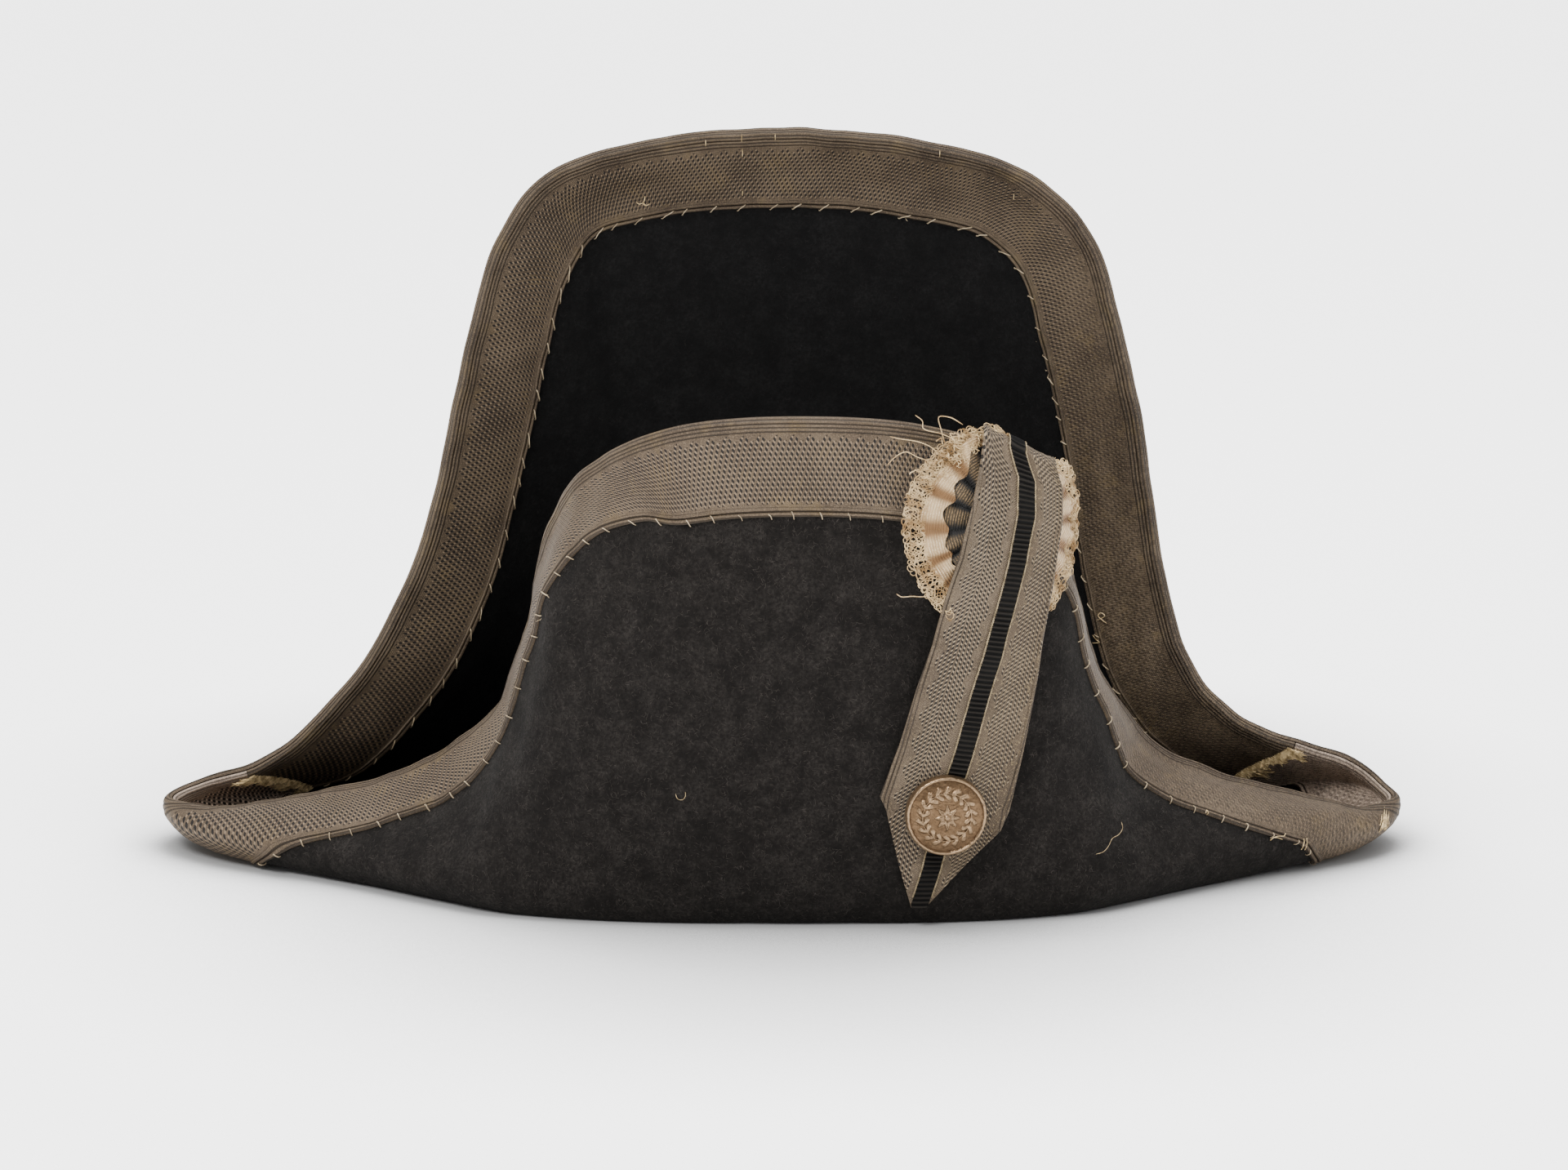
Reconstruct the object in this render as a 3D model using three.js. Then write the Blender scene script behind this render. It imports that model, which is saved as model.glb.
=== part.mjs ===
// A bicorne hat of black felt edged with metal lace, in millimetres, +Z up, seen from the front along +Y.
// The brim is one sheet of felt turned up in front and behind of a low crown.
// Rays run over that sheet from the head opening out to the rim. Every piece is laid on them.

import * as THREE from "three";

// Sizes of the felt
const HALF_LENGTH = 225;      // half the hat from tip to tip
const HALF_DEPTH = 107;       // from the middle of the hat to the fold, in front and behind
const FRONT_HEIGHT = 174;     // the front flap at its middle
const BACK_HEIGHT = 256;      // the back flap at its middle
const BELL_SHIFT = 7.5;       // the flaps' middle lies this far right of the middle of the tips
const FELT = 3;
const FOLD_RADIUS = 8;        // at the foot of each flap
const FOLD_RUNOUT = 4; // the felt lies flat from this far inside the fold
const EDGE_ROLL = 33;         // length of the edge that rolls over, in towards the crown
const OPENING_HALF_WIDTH = 80;
const OPENING_HALF_DEPTH = 98;
const CROWN_HEIGHT = 120;

// Sizes of the trimming
const GAP = 0.3;              // clearance between pieces that touch
const LACE_WIDTH = 33;
const LACE = 1;               // thickness of the lace
const LOOP_WIDTH = 44.5;
const LOOP_THICKNESS = 1.2;
const RIBBON_WIDTH = 6;
const RIBBON_THICKNESS = 1;
const BUTTON_DIAMETER = 28;
const BUTTON_HEIGHT = 6;
const COCKADE_DIAMETER = 72;
const COCKADE_FAN_DIAMETER = 45;
const COCKADE_THICKNESS = 2;
const COCKADE_PLEATS = 16;
const COCKADE_BEND = 62;      // radius that the cockade is bent to, round the flap's corner
const COCKADE_LEAN = 0.24;    // how far it leans back for each millimetre of height
const COCKADE_BEND_START = 30; // how far left of its middle the bend starts
const COCKADE_MIDDLE = { across: 0.309, up: 0.8 };     // shares of HALF_LENGTH and of FRONT_HEIGHT
const PLEAT_DEPTH = 1.8;      // of the cockade's pleats, as far out as its fan is wide

// Sections across the loop, from its point up over the cockade to the flap's rim.
// across: the section's middle, as a share of HALF_LENGTH from the flaps' middle; up: share of FRONT_HEIGHT;
// width: how wide it looks from the front, and dip: how far its right end lies below its left end,
// in shares of LOOP_WIDTH; ribbon: where the ribbon crosses it, as a share of the section.
const LOOP_SECTIONS = [
  { across: 0.180, up: 0.042, width: 0.11, dip: 0.00, ribbon: 0.50 },
  { across: 0.199, up: 0.121, width: 0.48, dip: 0.00, ribbon: 0.50 },
  { across: 0.217, up: 0.221, width: 0.89, dip: 0.20, ribbon: 0.50 },
  { across: 0.219, up: 0.253, width: 1.00, dip: 0.14, ribbon: 0.51 },
  { across: 0.242, up: 0.353, width: 0.94, dip: 0.16, ribbon: 0.52 },
  { across: 0.264, up: 0.471, width: 0.90, dip: 0.14, ribbon: 0.53 },
  { across: 0.280, up: 0.555, width: 0.83, dip: 0.16, ribbon: 0.55 },
  { across: 0.287, up: 0.601, width: 0.81, dip: 0.16, ribbon: 0.56 },
  { across: 0.294, up: 0.641, width: 0.80, dip: 0.15, ribbon: 0.57 },
  { across: 0.311, up: 0.733, width: 0.76, dip: 0.11, ribbon: 0.59 },
  { across: 0.326, up: 0.822, width: 0.71, dip: 0.13, ribbon: 0.59 },
  { across: 0.332, up: 0.891, width: 0.64, dip: 0.22, ribbon: 0.56 },
  { across: 0.331, up: 0.943, width: 0.56, dip: 0.31, ribbon: 0.45 },
];
const BUTTON_BETWEEN = [2, 3];      // the button sits halfway between these sections

// How finely the surfaces are divided
const RAY_STEPS = 12;
const OPENING_SPREAD = 1.25;      // how far the rays spread along the head opening
const PLEAT_STEPS = 3;              // how many of the modelled angles there are to a pleat
const LOOP_SHARES = [0, 0.25, 0.5, 0.75, 1];
const BUTTON_SIDES = 32;
const CONTACT_REACH = 3;            // how far around a point of the cockade the pieces behind it are felt for
const LOOP_REACH = 5.5;             // the same for the loop

// Stations round the rim, from the middle of the front to the left tip and on to the middle of the back.
// left, right: share of HALF_LENGTH from the flaps' middle; y: share of HALF_DEPTH; z: share of the flap's height.
// inward, along, up: from the rim to the line where the edge starts to roll, in shares of EDGE_ROLL.
// turn: where the station's ray crosses the fold, in degrees round the hat from the middle of the front;
// rays: how many of the modelled rays run from this station up to the next.
const FRONT_STATIONS = [
  { left: 0.000, right: 0.000, y: -0.820, z: 1.000, inward: 0.00, along: -0.22, up: -0.97, turn: 0, rays: 2 },
  { left: 0.187, right: 0.200, y: -0.795, z: 0.977, inward: 0.22, along: -0.33, up: -0.91, turn: 6, rays: 2 },
  { left: 0.320, right: 0.360, y: -0.640, z: 0.885, inward: 0.58, along: -0.66, up: -0.46, turn: 10, rays: 2 },
  { left: 0.382, right: 0.405, y: -0.490, z: 0.759, inward: 0.46, along: -0.88, up: -0.06, turn: 13, rays: 2 },
  { left: 0.409, right: 0.425, y: -0.410, z: 0.615, inward: 0.18, along: -0.97, up: 0.12, turn: 17, rays: 1 },
  { left: 0.433, right: 0.449, y: -0.375, z: 0.490, inward: 0.15, along: -0.97, up: 0.14, turn: 20.5, rays: 1 },
  { left: 0.465, right: 0.492, y: -0.335, z: 0.368, inward: 0.17, along: -0.97, up: 0.06, turn: 25, rays: 2 },
  { left: 0.548, right: 0.562, y: -0.275, z: 0.258, inward: 0.23, along: -0.95, up: -0.20, turn: 31, rays: 2 },
  { left: 0.670, right: 0.702, y: -0.210, z: 0.172, inward: 0.13, along: -0.95, up: -0.27, turn: 40, rays: 2 },
  { left: 0.827, right: 0.845, y: -0.135, z: 0.113, inward: 0.03, along: -0.52, up: -0.05, turn: 54, rays: 2 },
  { left: 0.960, right: 0.918, y: -0.115, z: 0.088, inward: 0.02, along: -0.13, up: 0.00, turn: 69, rays: 10 },
];
const TIP_STATION = { left: 1.032, right: 0.974, y: 0, z: 0.095, inward: -0.02, along: 0, up: -0.04, turn: 90, rays: 4 };
const BACK_STATIONS = [
  { left: 0.985, right: 0.955, y: 0.115, z: 0.077, inward: 0.02, along: 0.13, up: -0.09, turn: 109, rays: 2 },
  { left: 0.885, right: 0.915, y: 0.145, z: 0.104, inward: 0.08, along: 0.40, up: -0.26, turn: 121, rays: 2 },
  { left: 0.796, right: 0.725, y: 0.230, z: 0.162, inward: 0.42, along: 0.56, up: -0.66, turn: 130.5, rays: 2 },
  { left: 0.712, right: 0.640, y: 0.370, z: 0.250, inward: 0.66, along: 0.46, up: -0.58, turn: 139, rays: 1 },
  { left: 0.642, right: 0.605, y: 0.450, z: 0.370, inward: 0.76, along: 0.50, up: -0.42, turn: 145, rays: 1 },
  { left: 0.600, right: 0.582, y: 0.490, z: 0.490, inward: 0.80, along: 0.52, up: -0.30, turn: 151, rays: 1 },
  { left: 0.571, right: 0.560, y: 0.510, z: 0.610, inward: 0.82, along: 0.50, up: -0.28, turn: 155, rays: 1 },
  { left: 0.540, right: 0.529, y: 0.530, z: 0.728, inward: 0.80, along: 0.50, up: -0.33, turn: 159.5, rays: 1 },
  { left: 0.498, right: 0.484, y: 0.560, z: 0.845, inward: 0.74, along: 0.48, up: -0.47, turn: 164, rays: 2 },
  { left: 0.418, right: 0.384, y: 0.610, z: 0.935, inward: 0.50, along: 0.50, up: -0.71, turn: 168.5, rays: 2 },
  { left: 0.253, right: 0.204, y: 0.645, z: 0.983, inward: 0.16, along: 0.47, up: -0.87, turn: 174, rays: 2 },
  { left: 0.000, right: 0.000, y: 0.655, z: 1.000, inward: 0.00, along: 0.46, up: -0.88, turn: 180, rays: 0 },
];
const LACE_JOINT = 14;        // the station, counted from the front, where the front's lace meets the back's

// The fold seen from above. reach: share of the way to the tip; fullness: share of an ellipse's half width;
// lift: how high the brim's underside is there, as a share of FRONT_HEIGHT; radius: share of FOLD_RADIUS.
const FOOTPRINT = [
  { reach: 0.00, fullness: 1.000, lift: 0.000, radius: 1.00 },
  { reach: 0.30, fullness: 1.005, lift: 0.000, radius: 1.00 },
  { reach: 0.45, fullness: 0.985, lift: 0.000, radius: 1.00 },
  { reach: 0.57, fullness: 0.875, lift: 0.000, radius: 1.00 },
  { reach: 0.70, fullness: 0.735, lift: 0.000, radius: 1.00 },
  { reach: 0.80, fullness: 0.665, lift: 0.006, radius: 0.95 },
  { reach: 0.88, fullness: 0.640, lift: 0.014, radius: 0.90 },
  { reach: 0.95, fullness: 0.620, lift: 0.021, radius: 0.85 },
  { reach: 1.00, fullness: 0.600, lift: 0.028, radius: 0.80 },
];

// The crown from the brim up. height: share of CROWN_HEIGHT; width: share of the head opening.
const CROWN_PROFILE = [
  { height: 0.070, width: 0.948 },
  { height: 0.450, width: 0.930 },
  { height: 0.760, width: 0.850 },
  { height: 0.950, width: 0.560 },
];

// Curves

const vector = (x, y, z) => new THREE.Vector3(x, y, z);

// A smooth curve through a table, without overshoot, read at one value of its first column.
function readTable(table, key, column, at) {
  const x = table.map((row) => row[key]);
  const y = table.map((row) => row[column]);
  const last = x.length - 1;
  const clamped = Math.min(Math.max(at, x[0]), x[last]);
  const slope = (k) => (y[k + 1] - y[k]) / (x[k + 1] - x[k]);
  const tangent = (k) => {
    if (k === 0) return 0;
    if (k === last) return slope(last - 1);
    const before = slope(k - 1);
    const after = slope(k);
    if (before * after <= 0) return 0;
    const wide = 2 * (x[k + 1] - x[k]) + (x[k] - x[k - 1]);
    const narrow = (x[k + 1] - x[k]) + 2 * (x[k] - x[k - 1]);
    return (wide + narrow) / (wide / before + narrow / after);
  };
  let k = 0;
  while (k < last - 1 && clamped > x[k + 1]) k += 1;
  const span = x[k + 1] - x[k];
  const s = (clamped - x[k]) / span;
  return (1 + 2 * s) * (1 - s) ** 2 * y[k] + s * (1 - s) ** 2 * span * tangent(k)
    + s * s * (3 - 2 * s) * y[k + 1] + s * s * (s - 1) * span * tangent(k + 1);
}

// The point at share t between b and c of a centripetal Catmull-Rom curve, for rows of numbers.
// The first three numbers of a row are its place, which sets the spacing of the knots.
function betweenRows(a, b, c, d, t) {
  const knot = (p, q) => Math.max(Math.hypot(q[0] - p[0], q[1] - p[1], q[2] - p[2]), 1e-6) ** 0.5;
  const mix = (p, q, s) => p.map((value, k) => value + (q[k] - value) * s);
  const t1 = knot(a, b);
  const t2 = t1 + knot(b, c);
  const t3 = t2 + knot(c, d);
  const at = t1 + (t2 - t1) * t;
  const ab = mix(a, b, at / t1);
  const bc = mix(b, c, (at - t1) / (t2 - t1));
  const cd = mix(c, d, (at - t2) / (t3 - t2));
  const abc = mix(ab, bc, at / t2);
  const bcd = mix(bc, cd, (at - t1) / (t3 - t1));
  return mix(abc, bcd, (at - t1) / (t2 - t1));
}

// A station as a row of numbers: its place on the rim, on the roll line, and its direction to the fold.
function stationRow(station, height, side) {
  const out = (side < 0 ? station.left : station.right) * HALF_LENGTH;
  const rim = [BELL_SHIFT + side * out, station.y * HALF_DEPTH, station.z * height];
  const roll = [
    rim[0] - side * station.inward * EDGE_ROLL,
    rim[1] + station.along * EDGE_ROLL,
    rim[2] + station.up * EDGE_ROLL,
  ];
  const turn = THREE.MathUtils.degToRad(station.turn);
  return [...rim, ...roll, side * Math.sin(turn), -Math.cos(turn)];
}

const halfRound = [
  ...FRONT_STATIONS.map((station) => [station, FRONT_HEIGHT]),
  [TIP_STATION, FRONT_HEIGHT],
  ...BACK_STATIONS.map((station) => [station, BACK_HEIGHT]),
];
const leftRows = halfRound.map(([station, height]) => stationRow(station, height, -1));
const rightRows = halfRound.slice(1, -1).reverse().map(([station, height]) => stationRow(station, height, 1));
const STATION_ROWS = [...leftRows, ...rightRows];
const STATION_COUNT = STATION_ROWS.length;

// The ray at a place round the rim, counted in stations: evenly divided points from the opening to the rim.
function ray(place) {
  const whole = ((place % STATION_COUNT) + STATION_COUNT) % STATION_COUNT;
  const k = Math.floor(whole);
  const row = (shift) => STATION_ROWS[(k + shift + STATION_COUNT) % STATION_COUNT];
  const values = betweenRows(row(-1), row(0), row(1), row(2), whole - k);
  const direction = new THREE.Vector2(values[6], values[7]).normalize();
  const share = Math.abs(direction.x);
  const tipReach = (direction.x < 0 ? TIP_STATION.left : TIP_STATION.right) * HALF_LENGTH;
  const fullness = readTable(FOOTPRINT, "reach", "fullness", share);
  const radius = readTable(FOOTPRINT, "reach", "radius", share) * FOLD_RADIUS;
  const floor = readTable(FOOTPRINT, "reach", "lift", share) * FRONT_HEIGHT + FELT / 2;
  const limb = vector(
    BELL_SHIFT + direction.x * tipReach, direction.y * fullness * HALF_DEPTH, floor + radius);
  const angle = Math.atan2(direction.y * fullness, direction.x * tipReach / HALF_LENGTH * OPENING_SPREAD);
  const opening = vector(
    BELL_SHIFT + OPENING_HALF_WIDTH * Math.cos(angle), OPENING_HALF_DEPTH * Math.sin(angle), FELT / 2);
  const inward = vector(opening.x - limb.x, opening.y - limb.y, 0);
  const distance = inward.length();
  inward.normalize();
  const onFloor = (away) => vector(limb.x + inward.x * away, limb.y + inward.y * away, floor);
  const bend = onFloor(Math.min(radius, 0.5 * distance));
  const foot = onFloor(Math.min(radius + FOLD_RUNOUT, 0.75 * distance));
  const rim = values.slice(0, 3);
  const roll = values.slice(3, 6);
  const corners = [opening, foot, bend, limb].map((p) => p.toArray()).concat([roll, rim]);
  const ahead = corners[0].map((value, i) => 2 * value - corners[1][i]);
  const beyond = rim.map((value, i) => 2 * value - roll[i]);
  const padded = [ahead, ...corners, beyond];
  const points = [];
  for (let span = 0; span < corners.length - 1; span += 1) {
    for (let step = 0; step < RAY_STEPS; step += 1) {
      points.push(vector(...betweenRows(...padded.slice(span, span + 4), step / RAY_STEPS)));
    }
  }
  points.push(vector(...rim));
  for (const point of points) point.z = Math.max(point.z, Math.min(floor, FELT / 2));
  return { points, angle, limbStep: 3 * RAY_STEPS, bendStep: 2 * RAY_STEPS };
}

// Lengths along a ray, measured from the rim inwards.
function measure(points) {
  const lengths = new Array(points.length).fill(0);
  for (let k = points.length - 2; k >= 0; k -= 1) {
    lengths[k] = lengths[k + 1] + points[k].distanceTo(points[k + 1]);
  }
  return lengths;
}

function pointFromRim(points, lengths, wanted) {
  let k = points.length - 1;
  while (k > 1 && lengths[k - 1] < wanted) k -= 1;
  const share = (wanted - lengths[k]) / (lengths[k - 1] - lengths[k]);
  return points[k].clone().lerp(points[k - 1], share);
}

// The middle of the felt as a row of points from the rim to the crown's top, at one place round the rim.
const LACE_SHARES = [0, 0.16, 0.4, 0.7, 1];
const WALL_SHARES = [0.4, 0.75];
const LEAST_STEP = 2;

function feltRow(place) {
  const { points, angle, limbStep, bendStep } = ray(place);
  const lengths = measure(points);
  const whole = lengths[0];
  const wanted = [];
  for (const share of LACE_SHARES) wanted.push(LACE_WIDTH * share);
  const limb = Math.max(lengths[limbStep], LACE_WIDTH + LEAST_STEP * (WALL_SHARES.length + 1));
  for (const share of WALL_SHARES) wanted.push(LACE_WIDTH + (limb - LACE_WIDTH) * share);
  wanted.push(limb);
  wanted.push(Math.min(Math.max((lengths[limbStep] + lengths[bendStep]) / 2, limb + LEAST_STEP), whole - 2));
  wanted.push(Math.min(Math.max(lengths[bendStep] + LEAST_STEP, limb + 2 * LEAST_STEP), whole - 1));
  const row = wanted.map((length) => pointFromRim(points, lengths, length));
  row.push(points[0].clone());
  for (const level of CROWN_PROFILE) {
    row.push(vector(
      BELL_SHIFT + OPENING_HALF_WIDTH * level.width * Math.cos(angle),
      OPENING_HALF_DEPTH * level.width * Math.sin(angle),
      FELT / 2 + CROWN_HEIGHT * level.height));
  }
  return row;
}

// The felt's middle surface with its normals, which point up and in, towards the crown's outside,
// and the directions at the rim that lead off the felt.
function feltSurface(places) {
  const rows = places.map(feltRow);
  const ahead = places.map((place) => feltRow(place + 0.05));
  const behind = places.map((place) => feltRow(place - 0.05));
  const round = (i, j) => ahead[i][j].clone().sub(behind[i][j]);
  const normals = rows.map((row, i) => row.map((_, j) => {
    const across = row[Math.min(j + 1, row.length - 1)].clone().sub(row[Math.max(j - 1, 0)]);
    return across.cross(round(i, j)).normalize();
  }));
  const outward = normals.map((normal, i) => normal[0].clone().cross(round(i, 0)).normalize());
  return { rows, normals, outward };
}

// Solids

// A closed solid between two grids of points with the same layout: rows of points, the top on the side
// that (next column) x (next row) points to.
// round: the last row joins the first. pole: a pair of points that closes the last column of both grids.
function sheetSolid(top, bottom, round, pole) {
  const rowCount = top.length;
  const columnCount = top[0].length;
  const positions = [];
  const index = [];
  for (const grid of [top, bottom]) {
    for (const row of grid) for (const p of row) positions.push(p.x, p.y, p.z);
  }
  const half = rowCount * columnCount;
  const at = (layer, i, j) => layer * half + (i % rowCount) * columnCount + j;
  const quad = (a, b, c, d) => index.push(a, b, c, a, c, d);
  const lastRow = round ? rowCount : rowCount - 1;
  const last = columnCount - 1;
  for (let i = 0; i < lastRow; i += 1) {
    for (let j = 0; j < last; j += 1) {
      quad(at(0, i, j), at(0, i, j + 1), at(0, i + 1, j + 1), at(0, i + 1, j));
      quad(at(1, i, j), at(1, i + 1, j), at(1, i + 1, j + 1), at(1, i, j + 1));
    }
    quad(at(0, i, 0), at(0, i + 1, 0), at(1, i + 1, 0), at(1, i, 0));
    if (pole) {
      index.push(at(0, i + 1, last), at(0, i, last), 2 * half);
      index.push(at(1, i, last), at(1, i + 1, last), 2 * half + 1);
    } else {
      quad(at(0, i + 1, last), at(0, i, last), at(1, i, last), at(1, i + 1, last));
    }
  }
  if (pole) positions.push(...pole[0].toArray(), ...pole[1].toArray());
  if (!round) {
    const end = rowCount - 1;
    for (let j = 0; j < last; j += 1) {
      quad(at(0, 0, j + 1), at(0, 0, j), at(1, 0, j), at(1, 0, j + 1));
      quad(at(0, end, j), at(0, end, j + 1), at(1, end, j + 1), at(1, end, j));
    }
  }
  const geometry = new THREE.BufferGeometry();
  geometry.setAttribute("position", new THREE.Float32BufferAttribute(positions, 3));
  geometry.setIndex(index);
  geometry.computeVertexNormals();
  return geometry;
}

const hat = new THREE.Group();

function add(name, geometry, material) {
  const mesh = new THREE.Mesh(geometry, material);
  mesh.name = name;
  hat.add(mesh);
  return mesh;
}

const feltMaterial = new THREE.MeshStandardMaterial({ color: 0x1b1917, roughness: 0.95, metalness: 0 });
const laceMaterial = new THREE.MeshStandardMaterial({ color: 0x6b5f52, roughness: 0.7, metalness: 0.3 });
const ribbonMaterial = new THREE.MeshStandardMaterial({ color: 0x25252a, roughness: 0.7, metalness: 0 });
const lacyMaterial = new THREE.MeshStandardMaterial({ color: 0xcdb48c, roughness: 0.9, metalness: 0 });
const fanMaterial = new THREE.MeshStandardMaterial({ color: 0x4a3b28, roughness: 0.8, metalness: 0 });
const buttonMaterial = new THREE.MeshStandardMaterial({ color: 0xa98a63, roughness: 0.35, metalness: 0.9 });

// Felt body: crown and brim in one

function feltBody(surface) {
  const shifted = (amount) => surface.rows.map((row, i) => row.map(
    (p, j) => p.clone().addScaledVector(surface.normals[i][j], amount)));
  const top = shifted(FELT / 2);
  const bottom = shifted(-FELT / 2);
  const pole = (amount) => vector(BELL_SHIFT, 0, FELT / 2 + CROWN_HEIGHT + amount);
  return sheetSolid(top, bottom, true, [pole(FELT / 2), pole(-FELT / 2)]);
}

// The places round the rim where the surfaces are divided.
const everyPlace = [];
for (let station = 0; station < STATION_COUNT; station += 1) {
  const divisions = halfRound[Math.min(station, STATION_COUNT - 1 - station)][0].rays;
  for (let k = 0; k < divisions; k += 1) everyPlace.push(station + k / divisions);
}

const feltMesh = add("felt_body", feltBody(feltSurface(everyPlace)), feltMaterial);

// Lace: a flat band on one face of the flap, with a lip that covers half of the felt's edge

function placesBetween(first, last) {
  const end = last > first ? last : last + STATION_COUNT;
  const margin = 0.02;
  const inner = [...everyPlace, ...everyPlace.map((place) => place + STATION_COUNT)]
    .filter((place) => place > first + margin && place < end - margin);
  return [first + margin, ...inner, end - margin];
}

function laceBand(places, face) {
  const surface = feltSurface(places);
  const near = FELT / 2 + GAP;
  const far = near + LACE;
  const outer = [];
  const inner = [];
  surface.rows.forEach((row, i) => {
    const normal = surface.normals[i];
    const point = (j, beyond, height) => row[j].clone().addScaledVector(surface.outward[i], beyond)
      .addScaledVector(normal[j], face * height);
    const along = (height, beyond) => {
      const line = [point(0, beyond, GAP / 2), point(0, beyond, height)];
      for (let j = 1; j < LACE_SHARES.length; j += 1) line.push(point(j, 0, height));
      return line;
    };
    outer.push(along(far, GAP + LACE));
    inner.push(along(near, GAP));
  });
  return face > 0 ? sheetSolid(outer, inner, false) : sheetSolid(inner, outer, false);
}

const joint = { left: LACE_JOINT, right: STATION_COUNT - LACE_JOINT };
const frontPlaces = placesBetween(joint.right, joint.left);
const backPlaces = placesBetween(joint.left, joint.right);
const frontLace = add("lace_front_outer", laceBand(frontPlaces, -1), laceMaterial);
add("lace_front_inner", laceBand(frontPlaces, 1), laceMaterial);
add("lace_back_outer", laceBand(backPlaces, -1), laceMaterial);
add("lace_back_inner", laceBand(backPlaces, 1), laceMaterial);

// The front-most point at (x, z) of the pieces modelled so far, or null beside them

const modelled = [feltMesh, frontLace];
const caster = new THREE.Raycaster();

function frontAt(x, z) {
  caster.set(vector(x, -4 * HALF_DEPTH, z), vector(0, 1, 0));
  const hit = caster.intersectObjects(modelled, false)[0];
  return hit && hit.point.y < 0 ? hit.point.y : null;
}

// The front-most point around (x, z), within a reach on every side.
function frontAround(x, z, reach) {
  let front = null;
  const shares = [-1, -0.5, 0, 0.5, 1];
  for (const aside of shares) {
    for (const above of shares) {
      const here = frontAt(x + aside * reach, z + above * reach);
      if (here !== null && (front === null || here < front)) front = here;
    }
  }
  return front;
}

// Cockade: a pleated fan in a ring of pleated lace, bent round the front flap's corner

// A point of the pleated sheet at a distance from its middle and an angle, with a height over it.
function cockadePoint(radius, angle, height) {
  const bendStart = COCKADE_BEND_START / COCKADE_BEND;
  const turned = bendStart + radius * Math.cos(angle) / COCKADE_BEND;
  const above = radius * Math.sin(angle);
  const normal = vector(Math.sin(turned), -Math.cos(turned), COCKADE_LEAN * Math.cos(turned)).normalize();
  return vector(
    BELL_SHIFT + COCKADE_MIDDLE.across * HALF_LENGTH + COCKADE_BEND * (Math.sin(turned) - Math.sin(bendStart)),
    COCKADE_LEAN * above - COCKADE_BEND * Math.cos(turned),
    COCKADE_MIDDLE.up * FRONT_HEIGHT + above,
  ).addScaledVector(normal, height);
}

// Rows of points round the cockade, each from the outer radius in, at a height over the pleats.
function cockadeGrid(radii, height) {
  const rows = [];
  const steps = COCKADE_PLEATS * PLEAT_STEPS;
  for (let k = 0; k < steps; k += 1) {
    const angle = -2 * Math.PI * k / steps;
    rows.push(radii.map((radius) => {
      const pleat = PLEAT_DEPTH * radius / COCKADE_FAN_DIAMETER * Math.sin(COCKADE_PLEATS * angle);
      return cockadePoint(radius, angle, height + pleat);
    }));
  }
  return rows;
}

const fanRadius = COCKADE_FAN_DIAMETER / 2;
const ringRadii = [1, 0.82, 0.66].map((share) => share * COCKADE_DIAMETER / 2).concat([fanRadius + GAP]);
const fanRadii = [1, 0.6, 0.2].map((share) => share * fanRadius);
const ringBack = cockadeGrid(ringRadii, -COCKADE_THICKNESS / 2);
const ringFront = cockadeGrid(ringRadii, COCKADE_THICKNESS / 2);
const fanBack = cockadeGrid(fanRadii, -COCKADE_THICKNESS / 2);
const fanFront = cockadeGrid(fanRadii, COCKADE_THICKNESS / 2);
const fanMiddle = [1, -1].map((face) => cockadePoint(0, 0, face * COCKADE_THICKNESS / 2));

// How far back the cockade can go until it lies on the flap
const room = [...ringBack, ...fanBack].flat().map((point) => {
  const front = frontAround(point.x, point.z, CONTACT_REACH);
  return front === null ? Infinity : front - GAP - point.y;
});
const pushed = Math.min(...room);
for (const point of [...ringBack, ...ringFront, ...fanBack, ...fanFront, fanMiddle].flat()) point.y += pushed;

modelled.push(
  add("cockade_lace", sheetSolid(ringFront, ringBack, true), lacyMaterial),
  add("cockade_fan", sheetSolid(fanFront, fanBack, true, fanMiddle), fanMaterial),
);

// Loop: a pointed strap over the cockade, held by the button, with a ribbon along its middle

// The normals of a grid of points in rows, on the side of (next column) x (next row).
function gridNormals(grid) {
  return grid.map((row, i) => row.map((_, j) => {
    const before = grid[Math.max(i - 1, 0)][j];
    const after = grid[Math.min(i + 1, grid.length - 1)][j];
    const across = row[Math.min(j + 1, row.length - 1)].clone().sub(row[Math.max(j - 1, 0)]);
    return across.cross(after.clone().sub(before)).normalize();
  }));
}

// Moves the points of a line forward, where they lie behind a straight line between two others.
function pullTaut(line) {
  for (let i = 0; i < line.length; i += 1) {
    for (let before = 0; before < i; before += 1) {
      for (let after = i + 1; after < line.length; after += 1) {
        const share = (line[i].z - line[before].z) / (line[after].z - line[before].z);
        const straight = THREE.MathUtils.lerp(line[before].y, line[after].y, share);
        line[i].y = Math.min(line[i].y, straight);
      }
    }
  }
}

const loopBack = LOOP_SECTIONS.map((section) => LOOP_SHARES.map((share) => {
  const x = BELL_SHIFT + section.across * HALF_LENGTH + (share - 0.5) * section.width * LOOP_WIDTH;
  const z = section.up * FRONT_HEIGHT - (share - 0.5) * section.dip * LOOP_WIDTH;
  return vector(x, frontAround(x, z, LOOP_REACH) - 2 * GAP, z);
}));
for (const share of LOOP_SHARES.keys()) pullTaut(loopBack.map((row) => row[share]));
const loopNormals = gridNormals(loopBack);

// A point over the loop: its section, its share of the section's width, its height over the loop's back.
function loopPoint(i, share, height) {
  const place = share * (LOOP_SHARES.length - 1);
  const j = Math.min(Math.floor(place), LOOP_SHARES.length - 2);
  const normal = loopNormals[i][j].clone().lerp(loopNormals[i][j + 1], place - j).normalize();
  return loopBack[i][j].clone().lerp(loopBack[i][j + 1], place - j).addScaledVector(normal, height);
}

const loopGrid = (height) => LOOP_SECTIONS.map((_, i) => LOOP_SHARES.map((share) => loopPoint(i, share, height)));

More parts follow.
